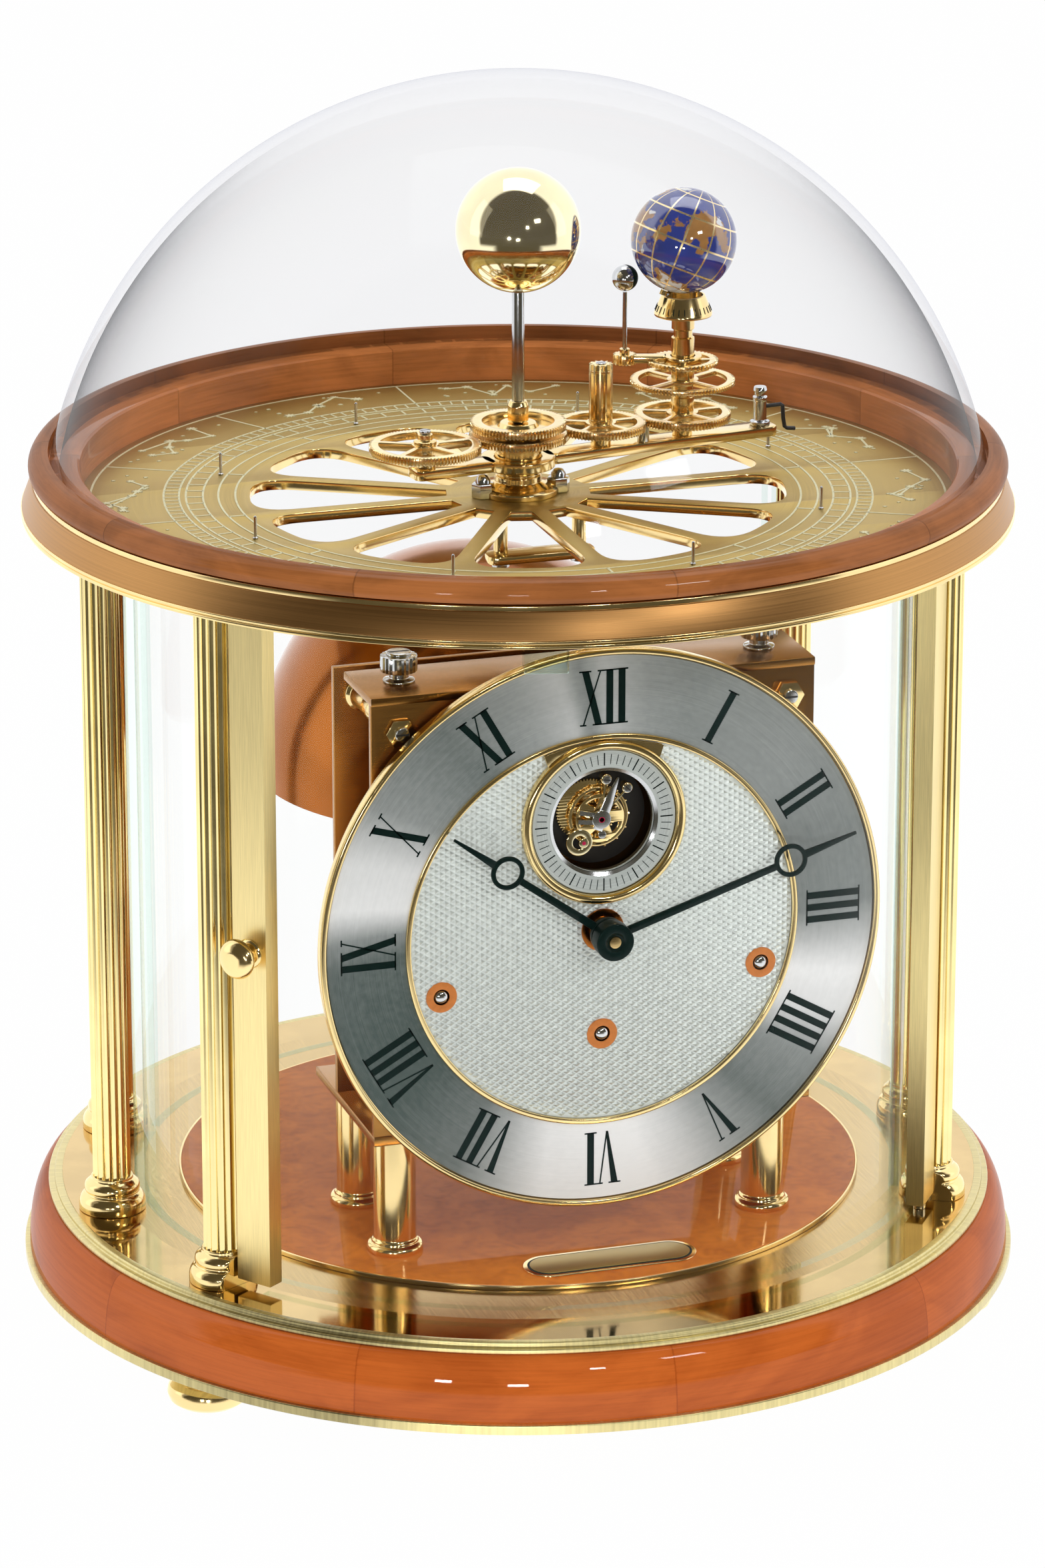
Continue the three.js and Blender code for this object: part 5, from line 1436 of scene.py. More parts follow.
def add_wheel(shape, outline, low, high, place, finish="brass", spokes=0, hub=0.0, rim=0.0, width=2.0):
    """A wheel with any outline, with openings between its spokes from hub to rim."""
    holes = spoke_holes(spokes, hub, rim, width) if spokes else []
    return shape.raised([outline, *holes], low, high, 0.12, finish, place)


def screw_head(shape, place, radius, rise=1.2):
    """A slotted screw head that stands on a place's own XY plane."""
    shape.disc(radius, 0, rise, rise * 0.4, 24, "nickel", place)
    # The slot is a black bar laid on the head: painted shade in place of a cut groove.
    cut = bar(-radius * 0.85, 0, radius * 0.85, 0, radius * 0.26, rise - 0.1, rise + 0.03)
    shape.add(cut, "dark", place)


PILLAR_INSET = 8.0
PLATE_GAP, PLATE_THICKNESS = 35.5, 2.5
PILLAR_PROFILE = ((0, 0), (5.2, 0), (5.2, 1.2), (4.0, 2.4), (3.6, 12.0), (4.0, 17.75), (3.6, 23.5),
                  (4.0, 33.1), (5.2, 34.3), (5.2, PLATE_GAP), (0, PLATE_GAP))
HAMMER_AXIS, HAMMER_HUB = 24.0, 3.2
EARS, EAR_REACH = (44.45, 55.55), 5.7
BARRELS = {"left": (-48.5, -15.4), "middle": (0.0, -32.0), "right": (48.5, -15.4)}
BARREL_RADIUS, ARBOR_RADIUS, ARBOR_TIP = 22.0, 3.0, 2.1
THUMB_COLLAR = ((0, 0), (4.6, 0), (4.6, 0.8), (2.8, 1.2), (2.8, 3.4), (0, 3.4))
GREAT_TEETH, GREAT_MODULE = 72, 0.7
TRAIN = ((-36, 184, 46, 42, 0.72), (-12, 194, 54, 30, 0.66), (29, 186, 43, 46, 0.72),
         (9, 170, 58, 34, 0.66), (-54, 168, 52, 24, 0.66), (50, 171, 54, 26, 0.66))
LEG_PROFILE = ((0, 0), (8.25, 0), (8.25, 1.7), (7.7, 2.5), (6.9, 2.7), (6.9, 3.5), (6.25, 4.0),
               (6.25, 37.5), (0, 37.5))


def dial_centre():
    """Height of the hands' axis."""
    return middle_mm("chapter_ring").z


def dial_place(up=0.0):
    """A place on the hands' axis, or straight above it, that faces forwards."""
    return facing(0, dial_centre() + up)


def leg(node):
    middle = middle_mm(node)
    shape = Shape().turn(eased(LEG_PROFILE, 0.5, 4), 64, "brass", at(middle.x, middle.y, box_mm(node)[0].z))
    shape.look(node, "case", "polished_brass")


def movement_plates():
    low, high = box_mm("front_plate")
    half, back, front = high.x, -high.y, -low.y
    upright = rectangle(-half, low.z, half, high.z)
    bores = [circle(ARBOR_RADIUS + GAP, 24, x, dial_centre() + up) for x, up in BARRELS.values()]
    shape = Shape().raised([upright, *bores], back, front, 0.3, "plate_brass", facing(0, 0))
    corners = [(x, z) for x in (-half + PILLAR_INSET, half - PILLAR_INSET)
               for z in (low.z + PILLAR_INSET, high.z - PILLAR_INSET)]
    for x, z in corners:
        shape.raised([circle(4.2, 6)], 0, 2.4, 0.3, "brass", facing(x, z, front))
        screw_head(shape, facing(x, z, front + 2.4), 2.2)
    shape.look("front_plate", "case", "polished_brass")
    back_front = back - PLATE_GAP
    back_back = back_front - PLATE_THICKNESS
    shape = Shape().raised([upright], back_back, back_front, 0.3, "plate_brass", facing(0, 0))
    pillar = lathe(eased(PILLAR_PROFILE, 0.4, 3), 40)
    for x, z in corners:
        shape.add(pillar, "brass", facing(x, z, back_front))
        screw_head(shape, facing(x, z, back_back) @ turned_by(180, "X"), 3.4)
    hub = levels("hammer")[0] + HAMMER_HUB
    outline = rectangle(HAMMER_AXIS - EAR_REACH, hub - EAR_REACH, 32.0, hub + EAR_REACH)
    ear = slab([eased(outline, 3, 4, closed=True)], -1.25, 1.25, 0.2)
    sideways = Matrix(((0, 0, 1, 0), (-1, 0, 0, 0), (0, 1, 0, 0), (0, 0, 0, 1)))
    for x in EARS:
        shape.add(ear, "brass", at(x, 0, 0) @ sideways)
    shape.look("back_plate", "case", "polished_brass")


def train_wheels():
    shape = Shape()
    for x, z, forward, teeth, module in TRAIN:
        reach = teeth * module / 2
        add_wheel(shape, gear_outline(teeth, module), forward, forward + 1.6, facing(x, z), "brass", 4, 3.2,
                  reach * 0.76, 2.0)
        shape.disc(1.3, 34.25, 69.75, 0.4, 20, "nickel", facing(x, z))
        shape.disc(3.0, forward + 1.6, forward + 7.0, 0.4, 20, "nickel", facing(x, z))
    shape.piece("train_wheels", "case", "polished_brass")


def top_bracket():
    low, high = box_mm("top_bracket")
    corners = rectangle(low.x, low.y, high.x, high.y)
    shape = Shape().raised([corners], low.z, low.z + PLATE_THICKNESS, 0.3, "plate_brass")
    knurl = [(x * share, y * share) for (x, y), share in zip(circle(4.85, 48), (1.03, 0.97) * 24)]
    for sign in (-1, 1):
        place = at(sign * (high.x - 1.5 * PILLAR_INSET), (low.y + high.y) / 2, low.z + PLATE_THICKNESS)
        shape.turn(eased(THUMB_COLLAR, 0.3), 40, "nickel", place)
        shape.raised([knurl], 3.2, 8.0, 0.3, "nickel", place)
        screw_head(shape, place @ at(0, 0, 7.8), 3.6)
    shape.look("top_bracket", "case", "polished_brass")


def barrel(side, x, up):
    node = f"barrel_{side}"
    rear, reach, _ = depths(node)
    place = facing(x, dial_centre() + up)
    back, front = rear + 4.0, rear + 25.2
    drum = eased([(0, back), (BARREL_RADIUS - 1, back), (BARREL_RADIUS - 1, back + 2),
                  (BARREL_RADIUS, back + 2.4), (BARREL_RADIUS, front - 1.2), (BARREL_RADIUS - 2, front),
                  (0, front)], 0.4, 3)
    shape = Shape().turn(drum, 72, "brass", place)
    wheel = back + 3.0 if side == "middle" else front
    add_wheel(shape, gear_outline(GREAT_TEETH, GREAT_MODULE), wheel, wheel + 3.0, place, "plate_brass")
    shape.disc(7.0, front, front + 4.2, 0.6, 40, "brass", place)
    shape.disc(ARBOR_RADIUS, rear, reach - 6, 0.2, 24, "nickel", place)
    shape.raised([circle(2.7, 4, turn=math.pi / 4)], reach - 6, reach - 2.2, 0.25, "nickel", place)
    tip = [(0, reach - 2.3), (ARBOR_TIP, reach - 2.3)]
    tip += bent((ARBOR_TIP, reach - 1.5), (ARBOR_TIP, reach), (0, reach))
    shape.turn(tip, 32, "nickel", place)
    shape.look(node, f"winder_{side}", "polished_brass")


class CLOCK_OT_movement(bpy.types.Operator):
    """Legs, seat, plates with pillars, train wheels, top bracket and spring barrels"""

    bl_idname = "clock.movement"
    bl_label = "Movement"

    def execute(self, context):
        for side in ("left", "right"):
            for row in ("front", "back"):
                leg(f"leg_{side}_{row}")
        low, high = box_mm("movement_seat")
        seat = slab([rectangle(low.x, low.y, high.x, high.y)], low.z, high.z, 0.4)
        Shape().add(seat, "plate_brass").look("movement_seat", "case", "polished_brass")
        movement_plates()
        train_wheels()
        top_bracket()
        for side, (x, up) in BARRELS.items():
            barrel(side, x, up)
        return {"FINISHED"}


BELL_WALL = 2.5


def bell_stand(middle):
    low, high = box_mm("bell_stand")
    half = high.x
    shape = Shape().raised([rectangle(-half, low.y, half, high.y)], low.z, low.z + 10, 0.8, "brass")
    shape.disc(half, low.z, high.z, 0.3, 32, "brass", at(middle.x, middle.y))
    shape.look("bell_stand", "case", "polished_brass")


def hammer():
    low, high = box_mm("hammer")
    x, hub = (low.x + high.x) / 2, low.z + HAMMER_HUB
    head = high.z - 4.5
    shape = Shape().disc(HAMMER_HUB, -4, 4, 0.4, 32, "nickel",
                         at(x, -HAMMER_AXIS, hub) @ turned_by(90, "Y"))
    shape.add(rod([(x, -HAMMER_AXIS, hub), (x, -HAMMER_AXIS, head)], 1.5), "nickel")
    back, front = -high.y, -low.y - 1.6
    shape.disc(4.5, back, front, 1.2, 40, "nickel", facing(x, head))
    shape.look("hammer", "striker", "nickel")


class CLOCK_OT_bell(bpy.types.Operator):
    """Copper bell on its stand, and the hammer"""

    bl_idname = "clock.bell"
    bl_label = "Bell and hammer"

    def execute(self, context):
        low, high = box_mm("bell")
        middle = (low + high) / 2
        radius, tall = (high.x - low.x) / 2, high.z - low.z

        def wall(reach, rise):
            turns = [math.radians(82 * i / 28) for i in range(29)]
            return [(reach * math.cos(t) ** 0.92, rise * math.sin(t)) for t in turns] + [(0, rise)]

        profile = [*reversed(wall(radius - BELL_WALL, tall - BELL_WALL)), (radius - BELL_WALL + 0.3, 0),
                   (radius, 0)]
        profile += wall(radius, tall)[1:]
        shape = Shape().turn(profile, 96, "copper", at(middle.x, middle.y, low.z))
        shape.look("bell", "case", "copper")
        bell_stand(middle)
        hammer()
        return {"FINISHED"}


NUMERALS = ("XII", "I", "II", "III", "IIII", "V", "VI", "VII", "VIII", "IX", "X", "XI")
NUMERAL_FOOT, NUMERAL_HEIGHT = 62.2, 16.4
THICK, THIN, SERIF = 2.05, 0.42, 0.42
LETTER_ADVANCE = {"I": 3.65, "V": 7.1, "X": 7.0}
INK_RISE = 0.10
SECONDS_UP, SECONDS_WIDTH = 33.0, 6.2
CENTRE_HOLE = 3.9
WINDING_HOLE = 4.4
WING_ANGLE, WING_INNER, WING_OUTER = 43, 24.4, 57.3


def letter_strokes(letter):
    """Outlines of one Roman letter: thick and thin strokes and their serifs, from foot to top."""
    top = NUMERAL_HEIGHT
    half = THICK / 2

    def stroke(foot, head, width):
        return [(foot - width / 2, 0), (foot + width / 2, 0), (head + width / 2, top),
                (head - width / 2, top)]

    def serif(middle, reach, level):
        return rectangle(middle - reach, level, middle + reach, level + SERIF)

    high = top - SERIF
    if letter == "I":
        return [stroke(0, 0, THICK), serif(0, half + 0.8, 0), serif(0, half + 0.8, high)]
    if letter == "V":
        thick = [(0.05, 0), (0.75, 0), (-0.95, top), (-0.95 - THICK, top)]
        return [thick, stroke(0.45, 2.55, THIN), serif(-2.0, half + 0.8, high), serif(2.55, 0.95, high)]
    return [stroke(2.05, -2.05, THICK), stroke(-2.6, 2.6, THIN), serif(-2.05, half + 0.8, high),
            serif(2.6, 0.95, high), serif(2.05, half + 0.8, 0), serif(-2.6, 0.95, 0)]


def dial_holes():
    """Outlines of the hands' hole, the window of the seconds and the winding holes."""
    window = circle(depths("seconds_ring")[2] - SECONDS_WIDTH, 64, 0, SECONDS_UP)
    bores = [circle(WINDING_HOLE, 40, x, up) for x, up in BARRELS.values()]
    return [circle(CENTRE_HOLE, 32), window, *bores]


def dial_plate(middle, seconds):
    _, front, radius = depths("dial_plate")
    face = front - 2.7
    back = face - 1.5
    shape = Shape().raised([circle(radius - 0.5, 160), *dial_holes()], back, face, 0, "brass", middle)
    rim = rectangle(radius - 1.8, back, radius, front)
    shape.turn(hoop(rim, 0.8, 5), 192, "brass", middle)
    for x in (-55, 55):
        for up in (-50, 50):
            shape.disc(2.5, back - 5.15, back + 0.1, 0.4, 20, "brass", middle @ at(x, up))
    # A black disc behind the seconds window: painted shade that darkens what is seen behind the cage.
    shape.disc(15.0, back - 5.05, back - 4.85, 0.05, 48, "dark", seconds)
    for x, up in BARRELS.values():
        shape.ring(ARBOR_TIP + GAP, WINDING_HOLE + 0.2, face + 0.6, face + 1.1, 0.1, 40, "winding_copper",
                   middle @ at(x, up))
    shape.look("dial_plate", "case", "polished_brass")


def chapter_ring(middle):
    back, front, radius = depths("chapter_ring")
    shape = Shape().ring(58.2, radius, back, front, 0.15, 192, "chapter_silver", middle)
    for hour, text in enumerate(NUMERALS):
        wide = sum(LETTER_ADVANCE[letter] for letter in text)
        x = -wide / 2
        for letter in text:
            x += LETTER_ADVANCE[letter] / 2
            place = middle @ turned_by(-30 * hour) @ at(x, NUMERAL_FOOT)
            for outline in letter_strokes(letter):
                shape.raised([outline], front - 0.05, front + INK_RISE, 0, "ink", place)
            x += LETTER_ADVANCE[letter] / 2
    shape.look("chapter_ring", "case", "silvered")


def diamond_centre(middle, sizes):
    back, front, radius = depths("dial_centre")
    ground = front - 0.3
    shape = Shape().raised([circle(radius, 160), *dial_holes()], back, ground, 0, "pearl", middle)
    gaps = [(0.0, SECONDS_UP, 22.8), (0.0, 0.0, 5.0)]
    gaps += [(x, up, WINDING_HOLE - 1.6) for x, up in BARRELS.values()]
    values = {"Radius": radius, "Width": sizes.diamond_width / MM, "Height": sizes.diamond_height / MM,
              "Rise": sizes.diamond_rise / MM, "Material": finish_named("diamond_silver")}
    values.update({f"Gap {i}": gap for i, gap in enumerate(gaps)})
    shape.add(grown(diamond_field_tree(), values), "diamond_silver", middle @ at(0, 0, ground))
    shape.ring(CENTRE_HOLE, 6.4, ground, front + 0.5, 0.2, 48, "copper", middle)
    shape.look("dial_centre", "case", "silvered", smooth_degrees=12)


def dial_rims(middle, seconds):
    _, front, outer = depths("inner_rim")
    face = front - 1.2
    base = face - 1.3
    rim = rectangle(outer - 1.6, base, outer, face)
    shape = Shape().turn(hoop(rim, 0.5, 4), 192, "brass", middle)
    bezel = [(21.8, base), (24.6, base), (24.6, face + 0.2)]
    bezel += bent((24.6, face + 0.2), (24.4, front), (23.2, front))
    bezel += bent((23.2, front), (22.2, front), (21.8, face))
    shape.turn(bezel + bezel[:1], 128, "brass", seconds)
    for sign in (-1, 1):
        turns = [math.radians(4 + (WING_ANGLE - 4) * i / 14) for i in range(15)]
        near = [(sign * WING_INNER * math.sin(t), SECONDS_UP + WING_INNER * math.cos(t)) for t in turns]
        far = [(x * WING_OUTER / math.hypot(x, y), y * WING_OUTER / math.hypot(x, y))
               for x, y in reversed(near)]
        shape.raised([near + far], base, face - 0.1, 0.15, "brass", middle)
    shape.look("inner_rim", "case", "polished_brass")


def seconds_ring(seconds, ticks):
    back, front, outer = depths("seconds_ring")
    inner = outer - SECONDS_WIDTH
    shape = Shape().ring(inner + 0.9, outer, back, front, 0.1, 128, "seconds_silver", seconds)
    bevel = [(inner, back), (inner + 1.0, back), (inner + 1.0, front + 0.02), (inner, front - 0.5),
             (inner, back)]
    shape.turn(bevel, 128, "nickel", seconds)
    for number, reach, width in ((ticks, 1.5, 0.2), (ticks // 5, 1.9, 0.36)):
        tick = bar(0, -reach, 0, reach, width, front - 0.02, front + 0.05)
        shape.add(copies_round(tick, number, outer - 2.6, "ink"), "ink", seconds)
    shape.look("seconds_ring", "case", "silvered")


class CLOCK_OT_dial(bpy.types.Operator):
    """Dial plate, chapter ring with its numerals, diamond-cut centre and the small seconds"""

    bl_idname = "clock.dial"
    bl_label = "Dial"

    def execute(self, context):
        sizes = context.scene.clock_sizes
        middle, seconds = dial_place(), dial_place(SECONDS_UP)
        dial_plate(middle, seconds)
        chapter_ring(middle)
        diamond_centre(middle, sizes)
        dial_rims(middle, seconds)
        seconds_ring(seconds, sizes.seconds_ticks)
        return {"FINISHED"}


def hand_blade(shape, low, degrees, eye, length, boss):
    """A slim blade to a ring eye, and a fine tip beyond it."""
    place = dial_place() @ turned_by(-degrees)
    stem = [(-1.05, boss - 1), (1.05, boss - 1), (0.8, eye - 4.2), (-0.8, eye - 4.2)]
    tip = [(-1.0, eye + 4.2), (1.0, eye + 4.2), (0.22, length), (-0.22, length)]
    for outline in (stem, tip):
        shape.raised([outline], low, low + 1.0, 0.18, "hand_black", place)
    shape.ring(3.65, 5.0, low, low + 1.05, 0.3, 56, "hand_black", place @ at(0, eye))


def hour_hand():
    back, front, _ = depths("hour_hand")
    shape = Shape()
    hand_blade(shape, front - 2.0, 306, 37.0, 56.5, 5.2)
    middle = dial_place()
    shape.ring(2.3, 5.2, front - 2.0, front, 0.3, 48, "hand_black", middle)
    shape.ring(2.3, 3.6, back, front - 1.0, 0.1, 32, "brass", middle)
    shape.look("hour_hand", "hour", "hand_black")


def minute_hand():
    back, front, _ = depths("minute_hand")
    shape = Shape()
    hand_blade(shape, front - 5.2, 72, 57.5, 78.3, 5.6)
    middle = dial_place()
    boss = eased([(0, front - 5.2), (5.6, front - 5.2), (5.6, front), (2.9, front), (2.4, front - 0.7),
                  (0, front - 0.7)], 0.45, 4)
    shape.turn(boss, 56, "hand_black", middle)
    shape.disc(2.0, back, front - 1.0, 0.1, 24, "nickel", middle)
    shape.turn([(0, front - 0.8), (2.0, front - 0.8), (1.7, front - 0.2), (0, front)], 32, "turned_brass",
               middle)
    shape.look("minute_hand", "minute", "hand_black")


class CLOCK_OT_hands(bpy.types.Operator):
    """Hour and minute hand with their ring eyes"""

    bl_idname = "clock.hands"
    bl_label = "Hands"

    def execute(self, context):
        hour_hand()
        minute_hand()
        return {"FINISHED"}


def balance_cage(place):
    back, front, _ = depths("balance_cage")
    wheel, bridge = front - 5.8, front - 2.6
    aside = place @ at(-2.9, 1.9)
    shape = Shape().raised([gear_outline(60, 0.3), circle(1.2, 20)], wheel, wheel + 1.0, 0.08, "brass",
                           aside)
    shape.raised([circle(7.2, 56), *spoke_holes(5, 3.4, 6.2, 3.4, 75)], bridge, bridge + 0.8, 0.12, "brass",
                 place)
    for degrees in (9, 44):
        spot = place @ turned_by(-degrees) @ at(0, 11.7)
        shape.add(rod([(0, -9.0, bridge + 1.0), (0, 0, bridge + 1.0)], 0.35, 10), "bright_gold", spot)
        shape.disc(1.3, wheel + 0.9, bridge + 0.4, 0.1, 20, "brass", spot)
        shape.disc(1.6, bridge, bridge + 1.3, 0.3, 28, "bright_gold", spot)
        screw_head(shape, spot @ at(0, 0, bridge + 1.3), 1.25, 0.5)
    screw_head(shape, place @ at(0.6, -5.0, bridge + 0.8), 1.2, 0.5)
    setting = place @ turned_by(-222) @ at(0, 9.2)
    shape.ring(2.0, 4.0, bridge, bridge + 0.9, 0.3, 40, "bright_gold", setting)
    jewel = place @ turned_by(-215) @ at(0, 8.6)
    shape.disc(1.5, bridge - 0.3, bridge + 1.2, 0.25, 28, "bright_gold", jewel)
    shape.disc(0.6, bridge + 1.1, bridge + 1.3, 0.08, 16, "ruby", jewel)
    shape.disc(0.8, back, front, 0.1, 20, "nickel", place)
    half = [(1.3, -3.2), (1.5, 0), (1.25, 5.6), (0.18, 13.2)]
    needle = [(-1.3, -3.2), *half, *((-x, y) for x, y in reversed(half[1:]))]
    shape.raised([needle], front - 0.95, front - 0.15, 0.12, "nickel", place @ turned_by(-22))
    for x in (-1.1, 1.1):
        shape.add(bar(x, 1.8, x * 1.25, 6.8, 1.3, front - 1.3, front - 0.5), "nickel",
                  place @ turned_by(80))
    shape.disc(2.8, front - 1.1, front - 0.05, 0.2, 40, "nickel", place)
    shape.turn([(0, front), (0.9, front), (0.9, front - 0.3), (0, front - 0.3)], 24, "ruby", place)
    shape.look("balance_cage", "cage", "polished_brass")


def balance_wheel(place):
    back, front, outer = depths("balance_wheel")
    shape = Shape().ring(outer - 1.5, outer - 0.4, back, front, 0.15, 72, "brass", place)
    shape.add(bar(0, -outer + 1.0, 0, outer - 1.0, 1.6, back, front), "brass", place)
    shape.ring(1.1, 2.4, back, front, 0.1, 32, "brass", place)
    pin = rod([(0, -0.55, (back + front) / 2), (0, 0.55, (back + front) / 2)], 0.42, 10)
    shape.add(copies_round(pin, 14, outer - 0.55, "brass", 13), "brass", place)
    shape.look("balance_wheel", "balance", "polished_brass")


class CLOCK_OT_cage(bpy.types.Operator):
    """Turning cage of the small seconds with its balance wheel"""

    bl_idname = "clock.cage"
    bl_label = "Balance cage"

    def execute(self, context):
        place = dial_place(SECONDS_UP)
        balance_cage(place)
        balance_wheel(place)
        return {"FINISHED"}


ARM_TURN = 8.0
IDLER_REACH, EARTH_REACH, COUNTER_REACH, ARM_REACH = 27.0, 54.0, -30.0, 80.0
GEAR_THICKNESS, GEAR_RISE = 2.4, 0.7
GEAR_MODULE = 1 / 3
GLOBE_TILT = 23.5


def on_arm(x, y=0.0, z=0.0):
    """A place on the orbit arm, which runs along its own +X."""
    return turned_by(ARM_TURN) @ at(x, y, z)


def gear_level():
    """Underside of the wheels that mesh along the arm."""
    return levels("centre_gear")[0] + GEAR_RISE


def sun_hub():
    low, high = levels("hub")
    profile = [(0, low), (12, low), (12, low + 1.6), (11, low + 2.4), (8.4, low + 3.0), (6.8, low + 3.6),
               (6.8, low + 5.4), (6.2, low + 5.6), (6.2, low + 6.4), (6.8, low + 6.6), (6.8, high),
               (0, high)]
    shape = Shape().turn(eased(profile, 0.3, 3), 72, "brass")
    for x in (-11.6, 11.6):
        shape.raised([circle(3.0, 6)], low, low + 4.4, 0.4, "nickel", at(x, -2.5))
        shape.turn([(0, low), (2.3, low), (2.2, low + 5.4), (1.4, low + 6.6), (0, low + 7.0)], 24, "nickel",
                   at(x, -2.5))
    shape.look("hub", "case", "polished_brass")


def centre_wheel():
    low, high = levels("centre_gear")
    gear = gear_level()
    shape = add_wheel(Shape(), gear_outline(84, GEAR_MODULE), gear, gear + GEAR_THICKNESS, on_arm(0),
                      "gear_brass")
    upper = gear + GEAR_THICKNESS + 1.2
    rim = [gear_outline(80, 0.342), circle(10.8, 64)]
    shape.raised(rim, upper, high, 0.15, "gear_brass")
    shape.turn(eased([(0, upper), (11.2, upper), (11.2, upper + 0.6), (6.0, upper + 0.6), (5.2, high - 0.4),
                      (0, high - 0.4)], 0.3), 64, "brass")
    shape.disc(6.8, low, upper + 0.2, 0.2, 48, "brass")
    shape.look("centre_gear", "case", "polished_brass")


class CLOCK_OT_sun(bpy.types.Operator):
    """Hub with its screws, fixed double wheel, sun rod and sun"""

    bl_idname = "clock.sun"
    bl_label = "Sun"

    def execute(self, context):
        sun_hub()
        centre_wheel()
        low, high = levels("sun_rod")
        collar = [(0, low), (3.1, low), (3.1, low + 4.6), (2.5, low + 6), (0, low + 6)]
        shape = Shape().turn(eased(collar, 0.3), 32, "brass")
        shape.disc(1.85, low, high + 0.2, 0.2, 32, "nickel")
        shape.look("sun_rod", "case", "nickel")
        middle = middle_mm("sun")
        shape = Shape().add(ball(box_mm("sun")[1].z - middle.z, 96), "bright_gold", at(0, 0, middle.z))
        shape.look("sun", "case", "polished_brass")
        return {"FINISHED"}


def orbit_arm(gear):
    low = levels("hub")[0] + 8.0
    high = low + 3.0
    place = on_arm(0)
    shape = Shape().ring(7.1, 11.0, low, high, 0.4, 64, "brass", place)
    for first, last in ((-34, -8.5), (8.5, 84)):
        outline = eased(rectangle(first, -4, last, 4), 2.5, 5, closed=True)
        shape.raised([outline], low, high, 0.35, "brass", place)
    shoulder = gear - GAP
    for reach, radius, top in ((IDLER_REACH, 1.4, gear + 2.3), (COUNTER_REACH, 1.4, gear + 2.3),
                               (EARTH_REACH, 2.0, gear + 31.5)):
        shape.disc(3.0, high, shoulder, 0.2, 28, "brass", on_arm(reach))
        shape.disc(radius, high, top, 0.2, 24, "nickel", on_arm(reach))
    post = [(0, 0), (3.0, 0), (3.0, 1.2), (2.0, 1.6), (2.0, 7.4), (2.2, 7.6), (2.2, 8.6), (1.7, 9.0),
            (1.7, 10.2), (2.2, 10.5), (1.8, 11.7), (0, 12.0)]
    shape.turn(eased([(r, high + z) for r, z in post], 0.2, 3), 28, "nickel", on_arm(ARM_REACH))
    shape.disc(1.8, high, high + 6.0, 0.3, 24, "nickel", on_arm(40, -2))
    hook = [(ARM_REACH, 0, high + 5.4), (87.0, 0, high + 5.4), (87.6, 0, high + 5.0), (87.9, 0, high + 1.0),
            (88.4, 0, high - 1.6), (89.2, 0, high - 2.2), (91.8, 0, high - 2.6)]
    shape.add(rod(hook, 0.62, 10), "dark", place)
    shape.look("orbit_arm", "orbit", "polished_brass")


def counter_wheel(low):
    place = on_arm(COUNTER_REACH)
    shape = add_wheel(Shape(), gear_outline(96, GEAR_MODULE, True), low, low + GEAR_THICKNESS, place,
                      "gear_brass", 5, 3.8, 13.8, 1.5)
    shape.turn(eased([(0, low + 2.4), (3.4, low + 2.4), (3.4, low + 3.4), (2.2, low + 3.8),
                      (2.2, low + 5.4), (0, low + 5.4)], 0.2), 28, "brass", place)
    screw_head(shape, place @ at(0, 0, low + 5.4), 1.7)
    shape.look("counter_gear", "counter", "polished_brass")


def idler_wheel(low):
    place = on_arm(IDLER_REACH)
    high = low + GEAR_THICKNESS
    shape = add_wheel(Shape(), gear_outline(78, GEAR_MODULE, True), low, high, place, "gear_brass", 5, 4.4,
                      10.9, 1.5)
    top = levels("idler_gear")[1]
    shape.raised([gear_outline(12, 0.5)], high, top - 0.3, 0.1, "gear_brass", place)
    for z in (high, top - 3.0):
        shape.disc(3.4, z, z + 1.0, 0.2, 32, "brass", place)
    screw_head(shape, place @ at(0, 0, top - 0.3), 1.6, 0.3)
    shape.look("idler_gear", "idler", "polished_brass")


class CLOCK_OT_orbit(bpy.types.Operator):
    """Orbit arm with its posts and date pointer, and the wheels that it carries"""

    bl_idname = "clock.orbit"
    bl_label = "Orbit arm"

    def execute(self, context):
        gear = gear_level()
        orbit_arm(gear)
        counter_wheel(gear)
        idler_wheel(gear)
        return {"FINISHED"}


def globe_place():
    """Middle of the globe, with Z along its leaning axis."""
    return on_arm(EARTH_REACH, 0, middle_mm("globe").z) @ turned_by(GLOBE_TILT, "Y")


